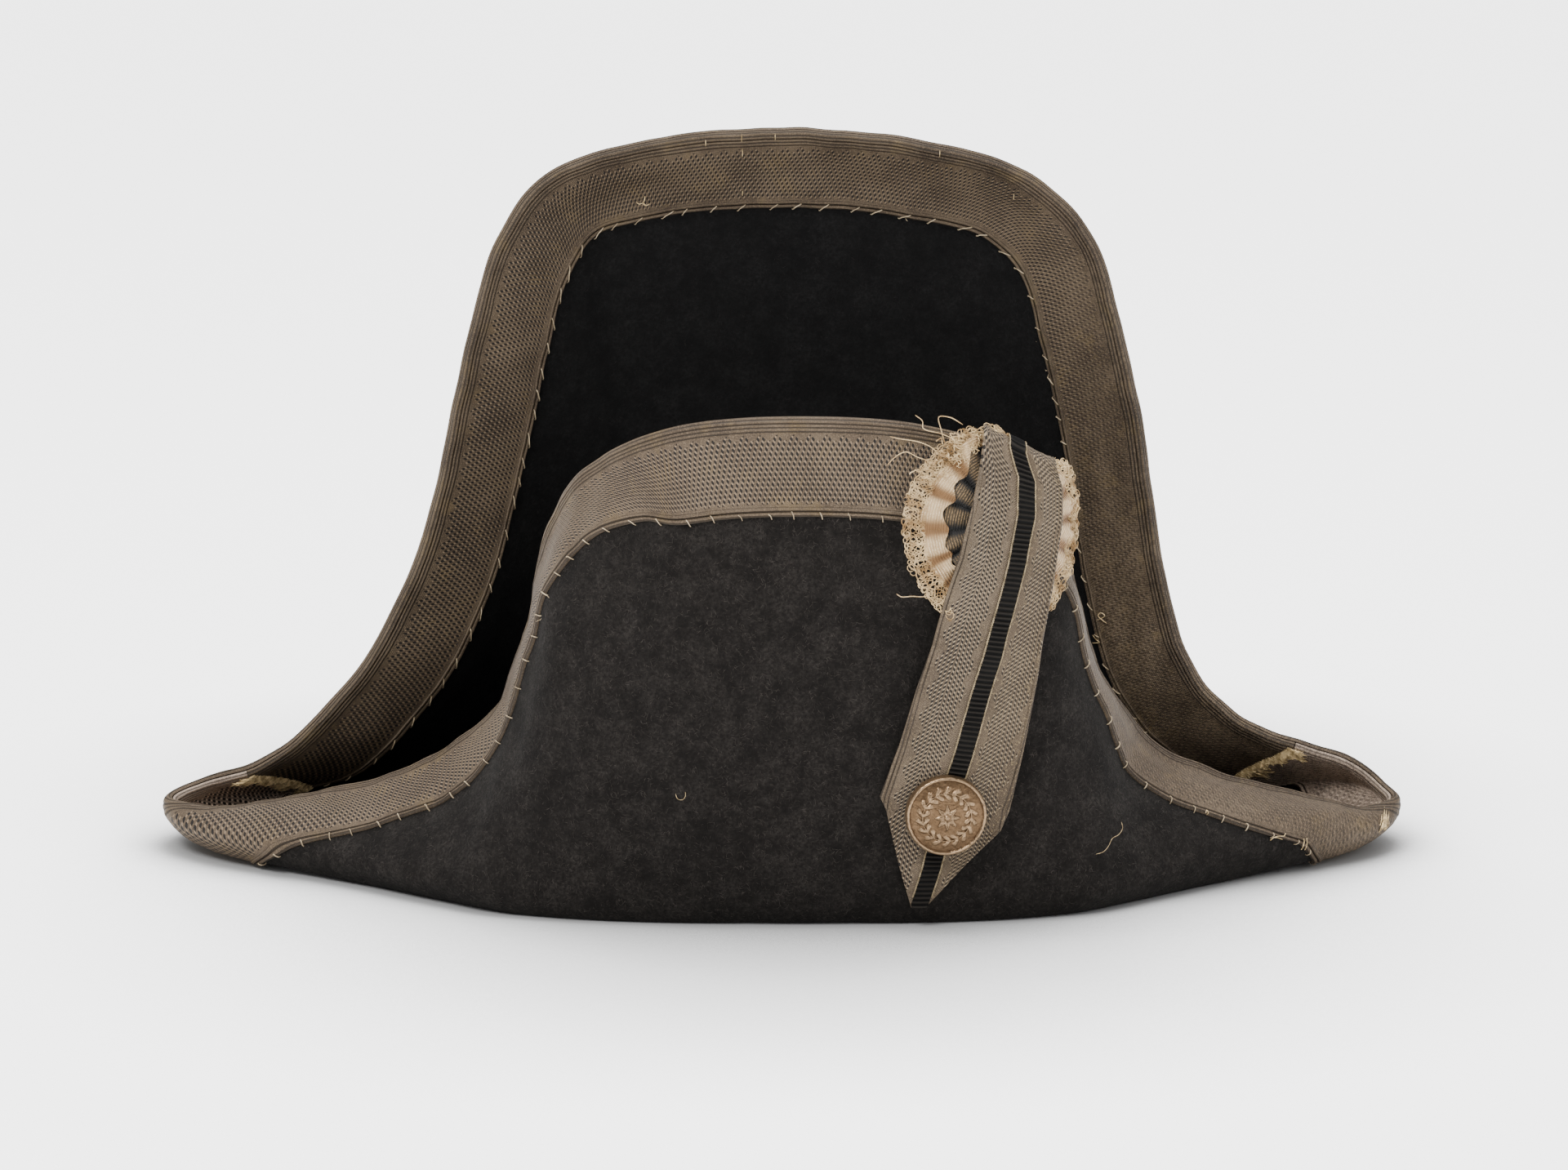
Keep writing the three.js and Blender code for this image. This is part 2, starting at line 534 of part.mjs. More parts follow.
function ribbonGrid(height) {
  return LOOP_SECTIONS.map((section, i) => {
    const half = Math.min(RIBBON_WIDTH / 2 / Math.hypot(section.width, section.dip) / LOOP_WIDTH, 0.5);
    return [-half, 0, half].map((aside) => loopPoint(i, section.ribbon + aside, height));
  });
}

const ribbonFoot = LOOP_THICKNESS + GAP;
const ribbonTop = ribbonFoot + RIBBON_THICKNESS;
add("loop_lace", sheetSolid(loopGrid(LOOP_THICKNESS), loopGrid(0), false), laceMaterial);
add("loop_ribbon", sheetSolid(ribbonGrid(ribbonTop), ribbonGrid(ribbonFoot), false), ribbonMaterial);

// Button: a domed plate with a raised rim, its back just clear of the ribbon

function buttonSolid() {
  const radius = BUTTON_DIAMETER / 2;
  const profile = [[0, 0], [0.93, 0], [1, 0.18], [1, 0.42], [0.96, 0.55], [0.91, 0.48], [0.6, 0.82], [0.3, 0.96], [0, 1]];
  const points = profile.map(([out, up]) => new THREE.Vector2(out * radius, up * BUTTON_HEIGHT));
  return new THREE.LatheGeometry(points, BUTTON_SIDES);
}

const button = add("button", buttonSolid(), buttonMaterial);
const [below, above] = BUTTON_BETWEEN.map((i) => loopPoint(i, LOOP_SECTIONS[i].ribbon, ribbonTop + GAP));
const facing = loopPoint(BUTTON_BETWEEN[1], 0.5, 1).sub(loopPoint(BUTTON_BETWEEN[1], 0.5, 0));
button.position.copy(below.lerp(above, 0.5));
button.quaternion.setFromUnitVectors(vector(0, 1, 0), facing);

// The origin is the middle of the bottom of the hat's box.
const box = new THREE.Box3().setFromObject(hat);
const middle = box.getCenter(vector(0, 0, 0));
hat.position.set(-middle.x, -middle.y, -box.min.z);

export default hat;
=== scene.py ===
"""A bicorne hat of black felt edged with metal lace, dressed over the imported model.

Lengths are in millimetres, as in the part's source, until a mesh is made. The brim's shape comes from rays
that run over the felt from the head opening out to the rim. Every piece is laid on that surface.
"""

import math

import bpy
import numpy as np
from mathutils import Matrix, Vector
from mathutils.bvhtree import BVHTree


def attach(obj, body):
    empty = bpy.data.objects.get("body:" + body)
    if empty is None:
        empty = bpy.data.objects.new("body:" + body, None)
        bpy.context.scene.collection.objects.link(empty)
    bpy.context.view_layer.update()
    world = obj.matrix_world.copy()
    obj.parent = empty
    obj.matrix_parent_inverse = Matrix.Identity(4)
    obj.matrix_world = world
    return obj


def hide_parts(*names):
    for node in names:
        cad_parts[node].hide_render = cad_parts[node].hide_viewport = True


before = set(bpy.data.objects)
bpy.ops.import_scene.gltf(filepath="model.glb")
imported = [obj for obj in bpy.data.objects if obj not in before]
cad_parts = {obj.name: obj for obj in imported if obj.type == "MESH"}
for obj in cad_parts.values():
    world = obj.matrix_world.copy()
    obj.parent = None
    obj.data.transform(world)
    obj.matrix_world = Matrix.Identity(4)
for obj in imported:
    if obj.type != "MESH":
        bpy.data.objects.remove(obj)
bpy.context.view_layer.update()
random = np.random.default_rng(1812)

# Camera

IMAGE_WIDTH = 1920
FOCAL_PIXELS = 5025
SENSOR = 36.0
NEAREST_SEEN = 50.0
CAMERA_DISTANCE = 1500.0
CAMERA_ELEVATION = math.radians(12)
CAMERA_TARGET = (0.8, 5.5, 97.8)
MM = 0.001


def metres(point):
    return Vector([value * MM for value in point])


def placed(name, data):
    """A new object of the data, in the scene."""
    piece = bpy.data.objects.new(name, data)
    bpy.context.scene.collection.objects.link(piece)
    return piece


def make_camera():
    data = bpy.data.cameras.new("camera")
    camera = placed("camera", data)
    data.sensor_width = SENSOR
    data.lens = FOCAL_PIXELS / IMAGE_WIDTH * SENSOR
    data.clip_start = NEAREST_SEEN * MM
    back = Vector((0, -math.cos(CAMERA_ELEVATION), math.sin(CAMERA_ELEVATION)))
    camera.location = metres(CAMERA_TARGET) + back * CAMERA_DISTANCE * MM
    camera.rotation_euler = back.to_track_quat("Z", "Y").to_euler()
    bpy.context.scene.camera = camera


make_camera()

# Sizes, as in the part's source

HALF_LENGTH = 225.0
HALF_DEPTH = 107.0
FRONT_HEIGHT = 174.0
BACK_HEIGHT = 256.0
BELL_SHIFT = 7.5
FELT = 3.0
FOLD_RADIUS = 8.0
EDGE_ROLL = 33.0
OPENING_HALF_WIDTH = 80.0
OPENING_HALF_DEPTH = 98.0
OPENING_SPREAD = 1.25
CROWN_HEIGHT = 120.0
FRAME_SHIFT = np.array([-1.0, 5.51, 0.0])
LACE_WIDTH = 33.0
LACE = 1.0
LACE_GAP = 0.15
LOOP_WIDTH = 44.5
LOOP_THICKNESS = 1.2
RIBBON_WIDTH = 6.0
BUTTON_DIAMETER = 28.0
BUTTON_HEIGHT = 6.0
COCKADE_DIAMETER = 72.0
COCKADE_FAN_DIAMETER = 45.0
COCKADE_PLEATS = 16
COCKADE_BEND = 62.0
COCKADE_BEND_START = 30.0
COCKADE_LEAN = 0.24
COCKADE_ACROSS = 0.309
COCKADE_UP = 0.8


def table(columns, *rows):
    return {name: np.array(values, float) for name, values in zip(columns.split(), zip(*rows))}


STATION_COLUMNS = "left right y z inward along up turn"
FRONT = table(
    STATION_COLUMNS,
    (0.000, 0.000, -0.820, 1.000, 0.00, -0.22, -0.97, 0),
    (0.187, 0.200, -0.795, 0.977, 0.22, -0.33, -0.91, 6),
    (0.320, 0.360, -0.640, 0.885, 0.58, -0.66, -0.46, 10),
    (0.382, 0.405, -0.490, 0.759, 0.46, -0.88, -0.06, 13),
    (0.409, 0.425, -0.410, 0.615, 0.18, -0.97, 0.12, 17),
    (0.433, 0.449, -0.375, 0.490, 0.15, -0.97, 0.14, 20.5),
    (0.465, 0.492, -0.335, 0.368, 0.17, -0.97, 0.06, 25),
    (0.548, 0.562, -0.275, 0.258, 0.23, -0.95, -0.20, 31),
    (0.670, 0.702, -0.210, 0.172, 0.13, -0.95, -0.27, 40),
    (0.827, 0.845, -0.135, 0.113, 0.03, -0.52, -0.05, 54),
    (0.960, 0.918, -0.115, 0.088, 0.02, -0.13, 0.00, 69),
    (1.032, 0.974, 0, 0.095, -0.02, 0, -0.04, 90),
)
BACK = table(
    STATION_COLUMNS,
    (0.985, 0.955, 0.115, 0.077, 0.02, 0.13, -0.09, 109),
    (0.885, 0.915, 0.145, 0.104, 0.08, 0.40, -0.26, 121),
    (0.796, 0.725, 0.230, 0.162, 0.42, 0.56, -0.66, 130.5),
    (0.712, 0.640, 0.370, 0.250, 0.66, 0.46, -0.58, 139),
    (0.642, 0.605, 0.450, 0.370, 0.76, 0.50, -0.42, 145),
    (0.600, 0.582, 0.490, 0.490, 0.80, 0.52, -0.30, 151),
    (0.571, 0.560, 0.510, 0.610, 0.82, 0.50, -0.28, 155),
    (0.540, 0.529, 0.530, 0.728, 0.80, 0.50, -0.33, 159.5),
    (0.498, 0.484, 0.560, 0.845, 0.74, 0.48, -0.47, 164),
    (0.418, 0.384, 0.610, 0.935, 0.50, 0.50, -0.71, 168.5),
    (0.253, 0.204, 0.645, 0.983, 0.16, 0.47, -0.87, 174),
    (0.000, 0.000, 0.655, 1.000, 0.00, 0.46, -0.88, 180),
)
TIP_REACH = {"left": 1.032, "right": 0.974}
LACE_JOINT = 14
FOOTPRINT = table(
    "reach fullness lift radius",
    (0.00, 1.000, 0.000, 1.00),
    (0.30, 1.005, 0.000, 1.00),
    (0.45, 0.985, 0.000, 1.00),
    (0.57, 0.875, 0.000, 1.00),
    (0.70, 0.735, 0.000, 1.00),
    (0.80, 0.665, 0.006, 0.95),
    (0.88, 0.640, 0.014, 0.90),
    (0.95, 0.620, 0.021, 0.85),
    (1.00, 0.600, 0.028, 0.80),
)
CROWN_PROFILE = table(
    "height width", (0.0, 1.0), (0.070, 0.948), (0.450, 0.930), (0.760, 0.850), (0.950, 0.560), (1.0, 0.0))
LOOP_SECTIONS = table(
    "across up width dip ribbon",
    (0.180, 0.042, 0.11, 0.00, 0.50),
    (0.199, 0.121, 0.48, 0.00, 0.50),
    (0.217, 0.221, 0.89, 0.20, 0.50),
    (0.219, 0.253, 1.00, 0.14, 0.51),
    (0.242, 0.353, 0.94, 0.16, 0.52),
    (0.264, 0.471, 0.90, 0.14, 0.53),
    (0.280, 0.555, 0.83, 0.16, 0.55),
    (0.287, 0.601, 0.81, 0.16, 0.56),
    (0.294, 0.641, 0.80, 0.15, 0.57),
    (0.311, 0.733, 0.76, 0.11, 0.59),
    (0.326, 0.822, 0.71, 0.13, 0.59),
    (0.332, 0.891, 0.64, 0.22, 0.56),
    (0.331, 0.943, 0.56, 0.31, 0.45),
)

# Curves


def read_table(rows, key, column, at):
    """A smooth curve through a table, without overshoot, read at values of its first column."""
    x = rows[key]
    y = rows[column]
    step = np.diff(x)
    slope = np.diff(y) / step
    tangent = np.zeros(len(x))
    tangent[-1] = slope[-1]
    for k in range(1, len(x) - 1):
        before, after = slope[k - 1], slope[k]
        if before * after > 0:
            wide = 2 * step[k] + step[k - 1]
            narrow = step[k] + 2 * step[k - 1]
            tangent[k] = (wide + narrow) / (wide / before + narrow / after)
    at = np.clip(at, x[0], x[-1])
    k = np.clip(np.searchsorted(x, at, side="left") - 1, 0, len(step) - 1)
    s = (at - x[k]) / step[k]
    return ((1 + 2 * s) * (1 - s) ** 2 * y[k] + s * (1 - s) ** 2 * step[k] * tangent[k]
            + s * s * (3 - 2 * s) * y[k + 1] + s * s * (s - 1) * step[k] * tangent[k + 1])


def between(a, b, c, d, t):
    """Points at share t between b and c of centripetal Catmull-Rom curves.

    The first three numbers of each point are its place.
    """
    def knot(p, q):
        return np.maximum(np.linalg.norm(q[..., :3] - p[..., :3], axis=-1, keepdims=True), 1e-6) ** 0.5

    t = np.asarray(t, float)[..., None]
    t1 = knot(a, b)
    t2 = t1 + knot(b, c)
    t3 = t2 + knot(c, d)
    at = t1 + (t2 - t1) * t
    ab = a + (b - a) * (at / t1)
    bc = b + (c - b) * ((at - t1) / (t2 - t1))
    cd = c + (d - c) * ((at - t2) / (t3 - t2))
    abc = ab + (bc - ab) * (at / t2)
    bcd = bc + (cd - bc) * ((at - t1) / (t3 - t1))
    return abc + (bcd - abc) * ((at - t1) / (t2 - t1))


def curve(points, steps):
    """A smooth open curve through points, with so many steps from each to the next."""
    points = np.asarray(points, float)
    padded = np.vstack([2 * points[0] - points[1], points, 2 * points[-1] - points[-2]])
    spans = [between(*padded[k:k + 4][:, None, :], np.arange(steps) / steps) for k in range(len(points) - 1)]
    return np.vstack(spans + [points[-1:]])


def lerp(a, b, share):
    return a + (b - a) * share


def unit(vectors):
    """The same directions at length 1."""
    return vectors / np.maximum(np.linalg.norm(vectors, axis=-1, keepdims=True), 1e-9)


def distances(points):
    """Distances along a line of points, from its start."""
    return np.concatenate([[0], np.linalg.norm(np.diff(points, axis=0), axis=1).cumsum()])


def surface(along, across):
    """A pair of surface coordinates for each point of a grid."""
    return np.stack(np.broadcast_arrays(along, across), axis=2).astype(float)


# The felt's middle surface


def station_rows(stations, height, side):
    out = stations["left" if side < 0 else "right"] * HALF_LENGTH
    rim = np.column_stack([BELL_SHIFT + side * out, stations["y"] * HALF_DEPTH, stations["z"] * height])
    roll = rim + EDGE_ROLL * np.column_stack([-side * stations["inward"], stations["along"], stations["up"]])
    turn = np.radians(stations["turn"])
    return np.hstack([rim, roll, np.column_stack([side * np.sin(turn), -np.cos(turn)])])


def whole_round():
    halves = [np.vstack([station_rows(FRONT, FRONT_HEIGHT, side), station_rows(BACK, BACK_HEIGHT, side)])
              for side in (-1, 1)]
    return np.vstack([halves[0], halves[1][1:-1][::-1]])


STATIONS = whole_round()
STATION_COUNT = len(STATIONS)
TIP_STATIONS = (10.5, 34.5)
TIGHT_STATIONS = 2
RAY_SPANS = 5
RAY_STEPS = 16
MOST_STEP = 3.0
LEAST_STEP = 1.5
WAVE_COUNT = 7
FELT_WAVES = ({"scale": 70, "amount": 0.55, "seed": 3}, {"scale": 28, "amount": 0.22, "seed": 4})
CALM_HEIGHT = 4.0
CALM_SPAN = 25.0


def rays(places):
    """Points along each ray from the opening out to the rim, and each ray's angle at the opening."""
    whole = np.mod(places, STATION_COUNT)
    k = np.floor(whole).astype(int)
    near = [STATIONS[(k + shift) % STATION_COUNT] for shift in (-1, 0, 1, 2)]
    values = between(*near, whole - k)
    direction = unit(values[:, 6:8])
    share = np.abs(direction[:, 0])
    reach = np.where(direction[:, 0] < 0, TIP_REACH["left"], TIP_REACH["right"])
    fullness = read_table(FOOTPRINT, "reach", "fullness", share)
    radius = read_table(FOOTPRINT, "reach", "radius", share) * FOLD_RADIUS
    floor = read_table(FOOTPRINT, "reach", "lift", share) * FRONT_HEIGHT + FELT / 2
    limb = np.column_stack([
        BELL_SHIFT + direction[:, 0] * reach * HALF_LENGTH,
        direction[:, 1] * fullness * HALF_DEPTH,
        floor + radius])
    angle = np.arctan2(direction[:, 1] * fullness, direction[:, 0] * reach * OPENING_SPREAD)
    opening = np.column_stack([
        BELL_SHIFT + OPENING_HALF_WIDTH * np.cos(angle),
        OPENING_HALF_DEPTH * np.sin(angle),
        np.full(len(places), FELT / 2)])
    inward = (opening - limb)[:, :2]
    distance = np.linalg.norm(inward, axis=1)
    inward = inward / distance[:, None]

    def on_floor(away):
        return np.column_stack([limb[:, :2] + inward * away[:, None], floor])

    bend = on_floor(np.minimum(radius, 0.5 * distance))
    foot = on_floor(np.minimum(radius + 4, 0.75 * distance))
    roll = values[:, 3:6]
    rim = values[:, 0:3]
    corners = np.stack([2 * opening - foot, opening, foot, bend, limb, roll, rim, 2 * rim - roll], axis=1)
    points = []
    for span in range(RAY_SPANS):
        ends = [corners[:, span + i] for i in range(4)]
        for step in range(RAY_STEPS):
            points.append(between(*ends, np.full(len(places), step / RAY_STEPS)))
    points = np.stack(points + [rim], axis=1)
    points[..., 2] = np.maximum(points[..., 2], np.minimum(floor, FELT / 2)[:, None])
    return points, angle


def spaced_places():
    """Places round the rim, close together where the rim is short between stations."""
    places = []
    for station in range(STATION_COUNT):
        ends = STATIONS[[station, (station + 1) % STATION_COUNT]]
        length = np.linalg.norm(ends[1, :3] - ends[0, :3])
        tight = min(abs(station - tip) for tip in TIP_STATIONS) < TIGHT_STATIONS
        count = math.ceil(length / (LEAST_STEP if tight else MOST_STEP))
        places.extend(station + np.arange(count) / count)
    return np.array(places)


def wobble(points, scale, amount, seed):
    """A smooth unevenness of a surface: one number for each point."""
    source = np.random.default_rng(seed)
    total = np.zeros(points.shape[:-1])
    for _ in range(WAVE_COUNT):
        wave = source.normal(size=3) * 2 * math.pi / scale
        total += np.sin(points @ wave + source.uniform(0, 2 * math.pi))
    return total * amount / WAVE_COUNT ** 0.5


def along_rays(points, wanted):
    """The points at wanted distances from the rim."""
    inwards = points[:, ::-1]
    lengths = np.concatenate([
        np.zeros((len(points), 1)),
        np.cumsum(np.linalg.norm(np.diff(inwards, axis=1), axis=2), axis=1)], axis=1)
    found = np.empty(wanted.shape + (3,))
    for i in range(len(points)):
        for axis in range(3):
            found[i, :, axis] = np.interp(wanted[i], lengths[i], inwards[i, :, axis])
    return found


def ray_lengths(points):
    lengths = np.linalg.norm(np.diff(points[:, ::-1], axis=1), axis=2).cumsum(axis=1)
    return lengths[:, 2 * RAY_STEPS - 1], lengths[:, 3 * RAY_STEPS - 1], lengths[:, -1]


def grid_normals(grid, closed):
    """Normals on the side of (next column) x (next row)."""
    if closed:
        along = np.roll(grid, -1, axis=0) - np.roll(grid, 1, axis=0)
    else:
        along = np.gradient(grid, axis=0)
    across = np.gradient(grid, axis=1)
    return unit(np.cross(across, along))


def uneven(grid, normals):
    """The surface with the slight unevenness of old felt, less of it near the ground."""
    amount = sum(wobble(grid, **wave) for wave in FELT_WAVES)
    amount *= np.clip((grid[..., 2] - CALM_HEIGHT) / CALM_SPAN, 0, 1)
    return grid + normals * amount[..., None]


ALL_PLACES = spaced_places()
LACE_COLUMNS = np.concatenate([
    np.linspace(0, 5.2, 14), np.linspace(6.5, 29, 16), np.linspace(29.6, LACE_WIDTH, 15)])
FELT_LACE_SHARES = np.linspace(0, 1, 15)
WALL_STEPS = 20
FOLD_STEPS = 9
FLOOR_STEPS = 5
CROWN_STEPS = 5


def felt_grid(places):
    """Rows of points from the rim in to the crown's top, at places round the rim."""
    points, angle = rays(places)
    limb, bend, whole = ray_lengths(points)
    limb = np.maximum(limb, LACE_WIDTH + LEAST_STEP)
    bend = np.maximum(bend, limb + LEAST_STEP)
    lace_end = np.full(len(places), LACE_WIDTH)
    spans = [lace_end[:, None] * FELT_LACE_SHARES[None, :]]
    parts = ((lace_end, limb, WALL_STEPS), (limb, bend, FOLD_STEPS), (bend, whole, FLOOR_STEPS))
    for start, end, steps in parts:
        shares = np.arange(1, steps + 1) / steps
        spans.append(start[:, None] + (end - start)[:, None] * shares[None, :])
    brim = along_rays(points, np.hstack(spans))
    widths = CROWN_PROFILE["width"]
    profile = curve(np.column_stack([widths, CROWN_PROFILE["height"], 0 * widths]), CROWN_STEPS)[1:-1]
    crown = np.stack([
        BELL_SHIFT + OPENING_HALF_WIDTH * np.cos(angle)[:, None] * profile[None, :, 0],
        OPENING_HALF_DEPTH * np.sin(angle)[:, None] * profile[None, :, 0],
        FELT / 2 + CROWN_HEIGHT * profile[None, :, 1] + 0 * angle[:, None]], axis=2)
    return np.concatenate([brim, crown], axis=1)


# The seams of the inner bands cross the lace askew: how far nearer the tip, in stations, the seam is at the
# lower edge and at the rim.
SEAM_REACH = 6
SEAM_LEFT = {"lower": 0.5, "rim": 1.3}
SEAM_RIGHT = {"lower": 0.3, "rim": 0.5}


def lace_grid(places, slanted):
    """Rows of points from the rim across a band; a slanted band's ends follow the seams over the tips."""
    if not slanted:
        points, _ = rays(places)
        return along_rays(points, np.tile(LACE_COLUMNS, (len(places), 1)))
    columns = []
    for across in LACE_COLUMNS:
        moved = places.astype(float)
        for seam, joint, toward in ((SEAM_LEFT, LACE_JOINT, -1), (SEAM_RIGHT, STATION_COUNT - LACE_JOINT, 1)):
            amount = lerp(seam["rim"], seam["lower"], across / LACE_WIDTH)
            away = np.abs((places - joint + STATION_COUNT / 2) % STATION_COUNT - STATION_COUNT / 2)
            moved = moved + toward * amount * np.clip(1 - away / SEAM_REACH, 0, 1) ** 2
        points, _ = rays(moved)
        columns.append(along_rays(points, np.full((len(places), 1), across)))
    return np.concatenate(columns, axis=1)


# Meshes

SHARP_ANGLE = math.radians(50)
THREAD_END = 0.35


def mesh_object(name, vertices, faces, material, uv=None, smooth=True):
    """An object of vertices in millimetres, with a pair of surface coordinates for each vertex."""
    mesh = bpy.data.meshes.new(name)
    mesh.from_pydata(((np.asarray(vertices) + FRAME_SHIFT) * MM).tolist(), [], faces)
    if uv is not None:
        layer = mesh.uv_layers.new(name="surface")
        corners = np.empty(len(mesh.loops), np.int32)
        mesh.loops.foreach_get("vertex_index", corners)
        layer.data.foreach_set("uv", np.asarray(uv, np.float32)[corners].ravel())
    mesh.validate()
    if smooth:
        mesh.shade_smooth()
        mesh.set_sharp_from_angle(angle=SHARP_ANGLE)
    mesh.materials.append(material)
    return placed(name, mesh)


def sheet_faces(rows, columns, closed, start=0, flip=False):
    faces = []
    for i in range(rows if closed else rows - 1):
        a = start + i * columns
        b = start + (i + 1) % rows * columns
        for j in range(columns - 1):
            quad = (a + j, a + j + 1, b + j + 1, b + j)
            faces.append(quad[::-1] if flip else quad)
    return faces


def solid_object(name, top, bottom, material, uv, closed=False, pole=None):
    """A closed sheet between two grids of points, the top on the side of (next column) x (next row)."""
    rows, columns = top.shape[:2]
    half = rows * columns
    vertices = np.vstack([top.reshape(-1, 3), bottom.reshape(-1, 3)])
    coordinates = np.vstack([uv.reshape(-1, 2)] * 2)
    faces = sheet_faces(rows, columns, closed) + sheet_faces(rows, columns, closed, half, True)
    last = columns - 1
    for i in range(rows if closed else rows - 1):
        a = i * columns
        b = (i + 1) % rows * columns
        faces.append((a, b, half + b, half + a))
        if pole is None:
            faces.append((b + last, a + last, half + a + last, half + b + last))
        else:
            faces.append((a + last, 2 * half, b + last))
            faces.append((half + b + last, 2 * half + 1, half + a + last))
    if pole is not None:
        vertices = np.vstack([vertices, pole])
        coordinates = np.vstack([coordinates, [[0, 0], [0, 0]]])
    if not closed:
        end = (rows - 1) * columns
        for j in range(last):
            faces.append((j + 1, j, half + j, half + j + 1))
            faces.append((end + j, end + j + 1, half + end + j + 1, half + end + j))
    return mesh_object(name, vertices, faces, material, coordinates)


class Threads:
    """Many thin round threads, tapered at both ends, gathered into one mesh."""

    def __init__(self, sides=5):
        self.sides = sides
        self.vertices = []
        self.faces = []

    def add(self, points, radius):
        points = np.asarray(points, float)
        tangents = unit(np.gradient(points, axis=0))
        side = np.cross(tangents[0], (0.3, 0.5, 0.8))
        start = len(self.vertices)
        for k, (point, tangent) in enumerate(zip(points, tangents)):
            side = unit(side - tangent * (side @ tangent))
            other = np.cross(tangent, side)
            thin = radius * (THREAD_END if k in (0, len(points) - 1) else 1)
            for corner in range(self.sides):
                turn = 2 * math.pi * corner / self.sides
                self.vertices.append(point + thin * (math.cos(turn) * side + math.sin(turn) * other))
        for k in range(len(points) - 1):
            a = start + k * self.sides
            for corner in range(self.sides):
                nxt = (corner + 1) % self.sides
                self.faces.append((a + corner, a + nxt, a + self.sides + nxt, a + self.sides + corner))
        self.faces.append(tuple(range(start, start + self.sides))[::-1])
        end = start + (len(points) - 1) * self.sides
        self.faces.append(tuple(range(end, end + self.sides)))

    def object(self, name, material):
        return mesh_object(name, self.vertices, self.faces, material)


def tree_of(piece):
    """A piece's triangles for finding what lies behind a point, in millimetres."""
    mesh = piece.data
    vertices = [tuple(vertex.co / MM - Vector(FRAME_SHIFT)) for vertex in mesh.vertices]
    return BVHTree.FromPolygons(vertices, [tuple(face.vertices) for face in mesh.polygons])


# Materials

HOLE_SPACING = 1.95
HOLE_ROWS = 3.4
HOLE_SLANT = 0.22
RIM_SELVEDGE = 4.9
LOW_SELVEDGE = 3.5
CREPE_START = 95.0
CREPE_END = 125.0
LOOP_HOLE_SPACING = 1.62
LOOP_HOLE_ROWS = 1.30
ZIGZAG_WIDTH = 12.0
ZIGZAG_SLOPE = 5.2
LOOP_TOOTH = 9.7
LOOP_FIELD = (4.6, 19.0)
HOLE_BLACK = (0.005, 0.004, 0.0035)


class Look:
    """A node-based material: small helpers round its node tree, with lengths in millimetres."""

    def __init__(self, name):
        self.material = bpy.data.materials.new(name)
        self.material.use_nodes = True
        self.tree = self.material.node_tree
        self.shader = self.tree.nodes["Principled BSDF"]
        coordinates = self.tree.nodes.new("ShaderNodeTexCoord")
        self.place = coordinates.outputs["Object"]
        self.along, self.across, _ = self.split(coordinates.outputs["UV"])

    def plug(self, value, socket):
        if isinstance(value, bpy.types.NodeSocket):
            self.tree.links.new(value, socket)
        else:
            socket.default_value = (*value, 1) if socket.type == "RGBA" else value

    def split(self, vector):
        node = self.tree.nodes.new("ShaderNodeSeparateXYZ")
        self.plug(vector, node.inputs[0])
        return tuple(node.outputs)

    def calc(self, operation, *values):
        node = self.tree.nodes.new("ShaderNodeMath")
        node.operation = operation
        for value, socket in zip(values, node.inputs):
            self.plug(value, socket)
        return node.outputs[0]

    def times(self, first, second):
        return self.calc("MULTIPLY", first, second)

    def line(self, value, slope, start):
        return self.calc("MULTIPLY_ADD", value, slope, start)

    def noise(self, size, detail=2.0, roughness=0.5, stretch=None):
        node = self.tree.nodes.new("ShaderNodeTexNoise")
        place = self.place
        if stretch is not None:
            mapping = self.tree.nodes.new("ShaderNodeMapping")
            self.plug(stretch, mapping.inputs["Scale"])
            self.plug(place, mapping.inputs["Vector"])
            place = mapping.outputs[0]
        self.plug(place, node.inputs["Vector"])
        for name, value in (("Scale", 1 / (size * MM)), ("Detail", detail), ("Roughness", roughness)):
            self.plug(value, node.inputs[name])
        return node.outputs[0]

    def steps(self, value, low, high):
        """0 below low, 1 above high, smooth between."""
        node = self.tree.nodes.new("ShaderNodeMapRange")
        node.interpolation_type = "SMOOTHSTEP"
        for name, part in (("Value", value), ("From Min", low), ("From Max", high)):
            self.plug(part, node.inputs[name])
        return node.outputs[0]

    def mix(self, share, first, second):
        node = self.tree.nodes.new("ShaderNodeMix")
        node.data_type = "RGBA"
        for place, value in ((0, share), (6, first), (7, second)):
            self.plug(value, node.inputs[place])
        return node.outputs[2]

    def tint(self, color, share, amount, tone):
        """A colour with so much of another tone in it where share is 1."""
        return self.mix(self.times(share, amount), color, tone)

    def bump(self, height, distance, strength=1.0, before=None):
        node = self.tree.nodes.new("ShaderNodeBump")
        for name, value in (("Strength", strength), ("Distance", distance * MM), ("Height", height)):
            self.plug(value, node.inputs[name])
        if before is not None:
            self.plug(before, node.inputs["Normal"])
        return node.outputs[0]

    def wave(self, value, period, phase=0.0):
        """A sine of a length, from 0 to 1."""
        return self.line(self.calc("SINE", self.line(value, 2 * math.pi / period, phase)), 0.5, 0.5)

    def fold(self, value, period):
        """A triangle wave of a length, from 0 to 1."""
        return self.times(self.calc("PINGPONG", value, period / 2), 2 / period)

    def finish(self, color, roughness, normal=None, metallic=0.0, sheen=0.0, specular=0.5):
        settings = {
            "Base Color": color, "Roughness": roughness, "Metallic": metallic, "Specular IOR Level": specular,
            "Sheen Weight": sheen, "Sheen Roughness": 0.45}
        for name, value in settings.items():
            self.plug(value, self.shader.inputs[name])
        if normal is not None:
            self.plug(normal, self.shader.inputs["Normal"])
        return self.material


def scaled(tone, factor):
    return [value * factor for value in tone]


